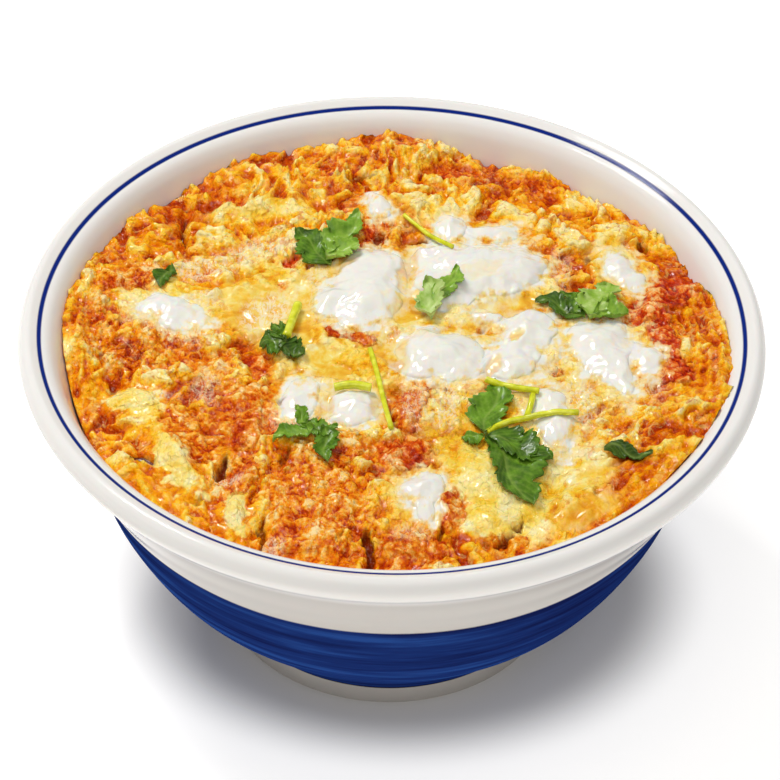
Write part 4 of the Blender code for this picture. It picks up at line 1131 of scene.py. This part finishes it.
def blade_body(base, tip, left, right, lift, lightness, above):
    """One leaflet. A sine gives its width, teeth ramp up and drop along it, and it lies on evened food."""
    base, tip = np.array(base, float), np.array(tip, float)
    length = np.linalg.norm(tip - base)
    along = (tip - base) / length
    across = np.array([-along[1], along[0]])
    rows, columns = np.linspace(0, 1, BLADE_ROWS + 1), np.linspace(-1, 1, BLADE_COLUMNS + 1)
    t, s = np.meshgrid(rows, columns, indexing="ij")
    half = np.where(s > 0, left, right) * np.sin(math.pi * t**0.75) ** 0.7
    lobe_way = BLADE_LOBES * t + NOTCH_START + NOTCH_OFFSET * np.sign(s)
    notch = np.exp(-(((lobe_way % 1 - 0.5) / NOTCH_WIDTH) ** 2))
    tooth = 1 - (TOOTH_DEPTH * (1 - (BLADE_TEETH * t) % 1) + LOBE_DEPTH * notch) * np.abs(s) ** 2
    forward = t * length + MARGIN_LEAN * half * np.abs(s) ** 1.6 * (1 - t)
    sideways = s * half * tooth + RIB_BEND * length * np.sin(RIB_WAVES * math.pi * t)
    flat = base + forward[..., None] * along + sideways[..., None] * across
    x, y = flat[..., 0], flat[..., 1]
    margin_wave = np.sin(2 * math.pi * BLADE_TEETH / 2 * t)
    ripple = BLADE_RIPPLE * np.sin(9 * t + 4 * s) + MARGIN_RIPPLE * np.abs(s) * margin_wave
    ground = evened(resting_height(x, y, LEAF_SPAN), LEAF_EVENING)
    z = ground + LEAF_GAP + above + lift * np.abs(s) ** 1.3 + ripple
    vein_step = (BLADE_TEETH * (t - VEIN_SLANT * np.abs(s)) + 0.5) % 1 - 0.5
    side_vein = np.exp(-((vein_step * VEIN_NARROWNESS) ** 2)) * (1 - 0.6 * np.abs(s))
    vein = np.maximum(np.exp(-((s * half / RIB_WIDTH) ** 2)), SIDE_VEINS * side_vein)
    top = np.dstack([x, y, z - VEIN_DEPTH * vein])
    return top, {"vein": vein, "light": np.full(t.shape, lightness) + 0.12 * swells(x, y, 3.0, 71)}


def thin_body(top, thickness):
    """Points and faces of a thin body: the grid, the same one lower and turned over, and a strip round."""
    count = top[..., 0].size
    index = np.arange(count).reshape(top.shape[:2])
    lower = top.reshape(-1, 3) - (0, 0, thickness)
    edge = sheet_edge(index)
    strip = np.stack([edge, edge + count, np.roll(edge, -1) + count, np.roll(edge, -1)], 1)
    faces = np.vstack([sheet_faces(index), sheet_faces(index)[:, ::-1] + count, strip])
    return np.vstack([top.reshape(-1, 3), lower]), faces


LEAF_STOPS = ((0.0, "2E4C08"), (0.25, "476C12"), (0.5, "6A9420"), (0.75, "94B840"), (1.0, "BED282"))


def leaf_finish():
    """Wilted leaf: dark above or pale below by its lightness, with lighter veins and a thin wet coat."""
    material, shader, node = new_finish(
        "mitsuba_leaf", Roughness=0.28, IOR=1.36, Specular_IOR_Level=0.35, Subsurface_Weight=0.1,
        Subsurface_Scale=0.6 * MM, Subsurface_Radius=(0.5, 1.0, 0.2), Coat_Weight=0.15, Coat_Roughness=0.1,
    )
    place = node(PLACE)
    light, vein = (node(FIELD, attribute_name=one) for one in ("light", "vein"))
    blotched = node(TIMES_PLUS, node(NOISE, place, per_metre(2.4), 4.0, 0.6), 1.0, light)
    green = node(RAMP, node(LESS, blotched, 0.5), stops=LEAF_STOPS)
    wrinkles = node(NOISE, place, per_metre(0.8), 2.0)
    feed(shader, {
        "Base Color": node(OVER, node(TIMES, vein, 0.35), green, linear("A9BE5C")),
        "Normal": node(BUMP, wrinkles, 0.3, 0.2 * MM),
    })
    return material


green_finish = leaf_finish()
for name, blades in LEAVES.items():
    all_points, all_faces, all_fields = [], [], []
    for blade in blades:
        top, fields = blade_body(*blade)
        points, faces = thin_body(top, LEAF_THICKNESS)
        all_faces.append(faces + sum(map(len, all_points)))
        all_points.append(points)
        all_fields.append({field: np.tile(values.ravel(), 2) for field, values in fields.items()})
    joined = {field: np.concatenate([one[field] for one in all_fields]) for field in all_fields[0]}
    points, faces = np.vstack(all_points), np.vstack(all_faces).tolist()
    add_piece(f"{name}_blades", points, faces, green_finish, "leaf", [name], joined)

# %% [markdown]
# ## Stems
#
# The stalks were cut in short lengths. Each is a round rod a little uneven in thickness, bright where
# light shines through it, that lies on the food and sags between what holds it up.

# %% Cut stems
# Each stem: (diameter, (points along it))
STEMS = {
    "stem_1": (1.1, ((2.3, 45.7), (5.0, 42.6), (8.4, 38.4), (14.2, 32.2))),
    "stem_2": (2.2, ((-22.6, 11.6), (-23.6, 6.4), (-24.9, -1.4))),
    "stem_3": (1.3, ((-5.1, -4.0), (-3.2, -13.0), (-1.4, -22.8), (0.2, -32.4))),
    "stem_4": (2.0, ((-13.2, -18.6), (-9.0, -18.2), (-4.6, -18.9))),
    "stem_5": (1.6, ((22.0, -14.9), (28.0, -17.2), (34.4, -18.9))),
    "stem_6": (1.5, ((22.4, -31.6), (25.2, -29.2), (28.4, -27.8), (33.0, -26.9), (43.4, -25.8))),
    "stem_7": (1.5, ((33.0, -20.0), (32.4, -23.4), (31.5, -26.6))),
}
STEM_STEPS = 12
STEM_SIDES = 16
# How many steps of the food's height are averaged, so that a stem lies straighter than what is under it
STEM_EASE = 13
# How far a stem may press into the food, and how far it stands off it
STEM_PRESS, STEM_GAP = 0.4, 0.2


def smooth_route(points, steps):
    """A Catmull-Rom curve through the points, with some steps between each two."""
    points = np.asarray(points, float)
    ends = np.vstack([2 * points[0] - points[1], points, 2 * points[-1] - points[-2]])
    t = np.linspace(0, 1, steps, endpoint=False)[:, None]
    parts = [
        b + 0.5 * t * (c - a + t * (2 * a - 5 * b + 4 * c - d + t * (3 * (b - c) + d - a)))
        for a, b, c, d in zip(ends, ends[1:], ends[2:], ends[3:])
    ]
    return np.vstack([*parts, points[-1:]])


def tube_faces(rows, sides):
    """Faces of a tube of rings, with a fan to one further point at each end."""
    index = np.arange(rows * sides).reshape(rows, sides)
    faces = sheet_faces(np.hstack([index, index[:, :1]])).tolist()
    for middle, ring in ((index.size, index[0]), (index.size + 1, index[-1][::-1])):
        faces += [(middle, a, b) for a, b in zip(ring.tolist(), np.roll(ring, -1).tolist())]
    return faces


def rod_body(line, radii):
    """Rings round a line, each square to it, with both ends closed by a point."""
    ahead = np.gradient(line, axis=0)
    ahead /= np.linalg.norm(ahead, axis=1, keepdims=True)
    side = np.cross(ahead, (0, 0, 1.0))
    side /= np.linalg.norm(side, axis=1, keepdims=True)
    up = np.cross(side, ahead)
    turns = np.linspace(0, 2 * math.pi, STEM_SIDES, endpoint=False)
    round_it = np.cos(turns)[:, None] * side[:, None] + np.sin(turns)[:, None] * up[:, None]
    rings = line[:, None] + radii[:, None, None] * round_it
    return np.vstack([rings.reshape(-1, 3), line[:1], line[-1:]]), tube_faces(len(line), STEM_SIDES)


STALK_STOPS = ((0.3, "C2C60E"), (0.5, "D8DA1A"), (0.7, "E6E850"))


def stem_finish():
    """Blanched stalk: yellow green in soft patches and wet. It lets much light through, so it looks lit."""
    material, shader, node = new_finish(
        "mitsuba_stalk", Roughness=0.25, IOR=1.4, Subsurface_Weight=0.5, Subsurface_Scale=1.2 * MM,
        Subsurface_Radius=(1.0, 1.0, 0.3), Coat_Weight=0.4, Coat_Roughness=0.1,
    )
    patches = node(NOISE, node(PLACE), per_metre(2.0), 3.0)
    feed(shader, {"Base Color": node(RAMP, patches, stops=STALK_STOPS)})
    return material


stalk_finish = stem_finish()
for name, (diameter, route) in STEMS.items():
    flat = smooth_route(route, STEM_STEPS)
    rest = resting_height(flat[:, 0], flat[:, 1], 0.5 * diameter)
    padded = np.pad(rest, STEM_EASE // 2, mode="edge")
    eased = np.convolve(padded, np.ones(STEM_EASE) / STEM_EASE, mode="valid")
    height = np.maximum(eased, rest - STEM_PRESS) + diameter / 2 + STEM_GAP
    line = np.column_stack([flat, height])
    radii = diameter / 2 * (1 + 0.08 * swells(flat[:, 0], flat[:, 1], 3.0, 81))
    add_piece(f"{name}_stalk", *rod_body(line, radii), stalk_finish, "stem", [name])

# %% [markdown]
# ## The bowl
#
# The bowl was thrown, dipped in clear glaze over white clay, and painted while it turned. So its form is
# one profile turned about the middle, and the painted band and the rim's line are set by how far they lie
# along that profile, which keeps them as even as a brush on a wheel does.

# %% Turned profile
OUTER_PROFILE = (
    (86.5, 86.3), (87.4, 85.3), (88.0, 83.4), (87.2, 81.0), (85.2, 78.2), (82.9, 74.6), (80.7, 70.9),
    (78.4, 66.6), (73.4, 56.8), (68.9, 43.2), (61.4, 29.1), (50.8, 16.6), (42.5, 6.4),
)
FOOT_PROFILE = (
    (41.7, 5.2), (41.7, 0.6), (41.2, 0.0), (38.7, 0.0), (38.1, 0.6), (37.5, 4.0), (20.0, 5.0), (0.0, 5.0),
)
# The profile's point that the painted line goes through
RIM_LINE = (83.03, 85.4)
PROFILE_STEPS = 7
BOWL_TURNS = 300


def bowl_body():
    """The profile turned round Z, a point on the axis at both ends, and each point's way from the line."""
    body = smooth_route((*INNER_PROFILE, *OUTER_PROFILE), PROFILE_STEPS)
    profile = np.vstack([body, FOOT_PROFILE])
    along = np.concatenate([[0], np.cumsum(np.hypot(*np.diff(profile, axis=0).T))])
    along -= along[INNER_PROFILE.index(RIM_LINE) * PROFILE_STEPS]
    ring = profile[1:-1]
    turns = np.linspace(0, 2 * math.pi, BOWL_TURNS, endpoint=False)
    rings = np.stack(
        [ring[:, :1] * np.cos(turns), ring[:, :1] * np.sin(turns), np.repeat(ring[:, 1:], BOWL_TURNS, 1)], -1
    )
    middle = [(0, 0, profile[0, 1]), (0, 0, profile[-1, 1])]
    way = np.concatenate([np.repeat(along[1:-1], BOWL_TURNS), along[[0, -1]]])
    return np.vstack([rings.reshape(-1, 3), middle]), tube_faces(len(ring), BOWL_TURNS), {"way": way}


print("the profile's points by hand:", len(INNER_PROFILE) + len(OUTER_PROFILE) + len(FOOT_PROFILE))

# %% Glaze and blue
RIM_LINE_WIDTH = 1.1
PAINT_EDGE = 0.2
# Heights in mm between which one finish changes into the next: the band's top and foot, a darker line at its
# foot painted as shade where the body turns under into the foot ring, and the painted shade under the lip
BAND_TOP, BAND_FOOT, FOOT_SHADE_LINE, LIP_SHADE = (57.4, 56.6), (5.6, 6.6), (8.6, 7.2), (79.5, 75.0)
# The way from the rim's line, in mm, between which the outside starts
OUTSIDE = (6.0, 8.0)
# The brush went round, so its strokes are 14 times as long as they are high
BRUSH_SCALE = (1.0, 1.0, 14.0)
COBALT_STOPS = ((0.36, "121C4C"), (0.5, "1A306C"), (0.64, "26488C"))
GLAZE_SHINE = 0.12


def glazed_finish():
    """White clay under clear glaze, which gives small sharp lights, with cobalt painted on the clay.

    A fine brush drew the line inside the rim, and a wide one left the band's streaks. The clay below the lip
    is a little greyer, as in the photo that wall is in shade."""
    material, shader, node = new_finish(
        "clear_glazed_porcelain", Roughness=0.1, IOR=1.5, Subsurface_Weight=0.05, Subsurface_Scale=1.5 * MM
    )
    place, way = node(PLACE), node(FIELD, attribute_name="way")
    height = node(SPLIT, place)
    shaky = node(TIMES_PLUS, node(NOISE, place, per_metre(25.0), 4.0), 0.5 * MM, height)
    top, foot, dark = (
        node(STEP, shaky, start * MM, end * MM) for start, end in (BAND_TOP, BAND_FOOT, FOOT_SHADE_LINE)
    )
    outside = node(STEP, way, *OUTSIDE)
    band = node(TIMES, node(TIMES, outside, top), foot)
    strokes = node(NOISE, node(MAPPED, place, BRUSH_SCALE), per_metre(70.0), 5.0, 0.6)
    # Painted shade: the band's lowest strip, over the turn into the foot ring, is near black
    cobalt = node(OVER, node(TIMES, dark, band), node(RAMP, strokes, stops=COBALT_STOPS), linear("121430"))
    shaded = node(TIMES, outside, node(STEP, height, LIP_SHADE[0] * MM, LIP_SHADE[1] * MM))
    clay = node(OVER, shaded, linear("ECE9E4"), linear("C4BEB6"))
    line = node(STEP, node(SIZE_OF, way), RIM_LINE_WIDTH / 2 + PAINT_EDGE, RIM_LINE_WIDTH / 2 - PAINT_EDGE)
    feed(shader, {
        "Base Color": node(OVER, line, node(OVER, band, clay, cobalt), linear("0A2478")),
        "Specular IOR Level": node(TIMES_PLUS, band, -GLAZE_SHINE, GLAZE_SHINE),
    })
    return material


points, faces, fields = bowl_body()
add_piece("bowl_turned", points, faces, glazed_finish(), "glazed_ceramic", ["bowl"], fields)

# %% [markdown]
# ## Floor, light and camera
#
# The bowl stands on a white table in soft light. One lamp behind it on the left gives the food its form,
# a small one beside that its glints, and a large one in front fills the rest with the even white sky. In
# the photo the floor turns pure white a short way from the bowl, so the table glows there, and not close
# to the bowl.

# %% Floor and light
TABLE_REACH = 4.0
# The glow's middle, how its reach is divided along x and y, where it starts and ends, and its strengths
GLOW_MIDDLE = (-3 * MM, 0, 0)
GLOW_SQUEEZE = (0.93, 1.14, 1)
GLOW_FROM, GLOW_TO = 52 * MM, 74 * MM
GLOW_NEAR, GLOW_FAR = 0.05, 0.62
# Each lamp: (place in metres, side in metres, power in watts)
LAMPS = {
    "key_left": ((-0.5, 0.32, 1.13), 0.3, 6.5),
    "small_glint": ((-0.3, 0.55, 1.05), 0.1, 2.2),
    "softbox_front": ((0.1, -0.6, 1.2), 0.9, 4.6),
}
LAMPS_AIM = (0, 0, 0.06)
# The sky's share of front to back, from -1 to 1, at its two ends, and its strength there
SKY_ENDS = (-0.6, 0.5, 0.36, 0.3)


def add_floor():
    """A wide square sheet under the bowl. It has no shine, so it takes the shadow, and it glows a short way
    out from the bowl, a painted light that turns the outer shadow white.
    """
    mesh = bpy.data.meshes.new("table")
    corners = [(TABLE_REACH * x, TABLE_REACH * y, 0) for x, y in ((-1, -1), (1, -1), (1, 1), (-1, 1))]
    mesh.from_pydata(corners, [], [(0, 1, 2, 3)])
    material, shader, node = new_finish(
        "matt_white_table_painted_glow", Base_Color=linear("E2DFDA"), Roughness=0.9, Specular_IOR_Level=0.0,
        Emission_Color=linear("FFFFFF"),
    )
    away = node(LENGTH, node(MAPPED, node(PLACE), GLOW_SQUEEZE, GLOW_MIDDLE))
    # Painted light: the table glows weakly next to the bowl and strongly beyond it, so the shadow fades to
    # white a short way out
    feed(shader, {"Emission Strength": node(STEP, away, GLOW_FROM, GLOW_TO, GLOW_NEAR, GLOW_FAR)})
    mesh.materials.append(material)
    table = bpy.data.objects.new("table", mesh)
    bpy.context.scene.collection.objects.link(table)


def add_lamp(name, place, side, power):
    """A square soft lamp at a place, facing the food."""
    lamp = bpy.data.lights.new(name, "AREA")
    lamp.shape, lamp.size, lamp.energy = "SQUARE", side, power
    holder = bpy.data.objects.new(name, lamp)
    holder.location = place
    holder.rotation_euler = (Vector(LAMPS_AIM) - Vector(place)).to_track_quat("-Z", "Y").to_euler()
    bpy.context.scene.collection.objects.link(holder)


def add_sky():
    """An even white world, a little brighter from the front."""
    world = bpy.data.worlds.new("white_studio")
    bpy.context.scene.world = world
    world.use_nodes = True
    node = partial(add_node, world.node_tree)
    direction = node(("TexCoord", {}, (), "Generated"))
    depth = node(("SeparateXYZ", {}, (0,), "Y"), direction)
    strength = node(STEP, depth, *SKY_ENDS, interpolation_type="LINEAR")
    feed(world.node_tree.nodes["Background"], {"Color": linear("FFFFFF"), "Strength": strength})


add_floor()
add_sky()
for name, lamp in LAMPS.items():
    add_lamp(name, *lamp)
print("lamps:", list(LAMPS))

# %% Camera at the photo's angle
CAMERA_TARGET = Vector((-0.22, 0.0, 64.76)) * MM
CAMERA_DISTANCE = 913.3 * MM
CAMERA_ELEVATION = 42.14
CAMERA_ROLL = 1.231
CAMERA_LENS = 176.3

run, rise = turned(CAMERA_ELEVATION)
lens = bpy.data.cameras.new("camera")
lens.lens = CAMERA_LENS
lens.sensor_width = 36.0
lens.clip_end = 20.0
camera = bpy.data.objects.new("camera", lens)
towards = Vector((0, run, -rise))
aimed = towards.to_track_quat("-Z", "Y").to_matrix().to_4x4()
rolled = Matrix.Rotation(math.radians(CAMERA_ROLL), 4, "Z")
camera.matrix_world = Matrix.Translation(CAMERA_TARGET - towards * CAMERA_DISTANCE) @ aimed @ rolled
bpy.context.scene.collection.objects.link(camera)
bpy.context.scene.camera = camera
bpy.context.scene.view_settings.view_transform = "Standard"
print("camera in mm:", [round(value / MM) for value in camera.matrix_world.translation])
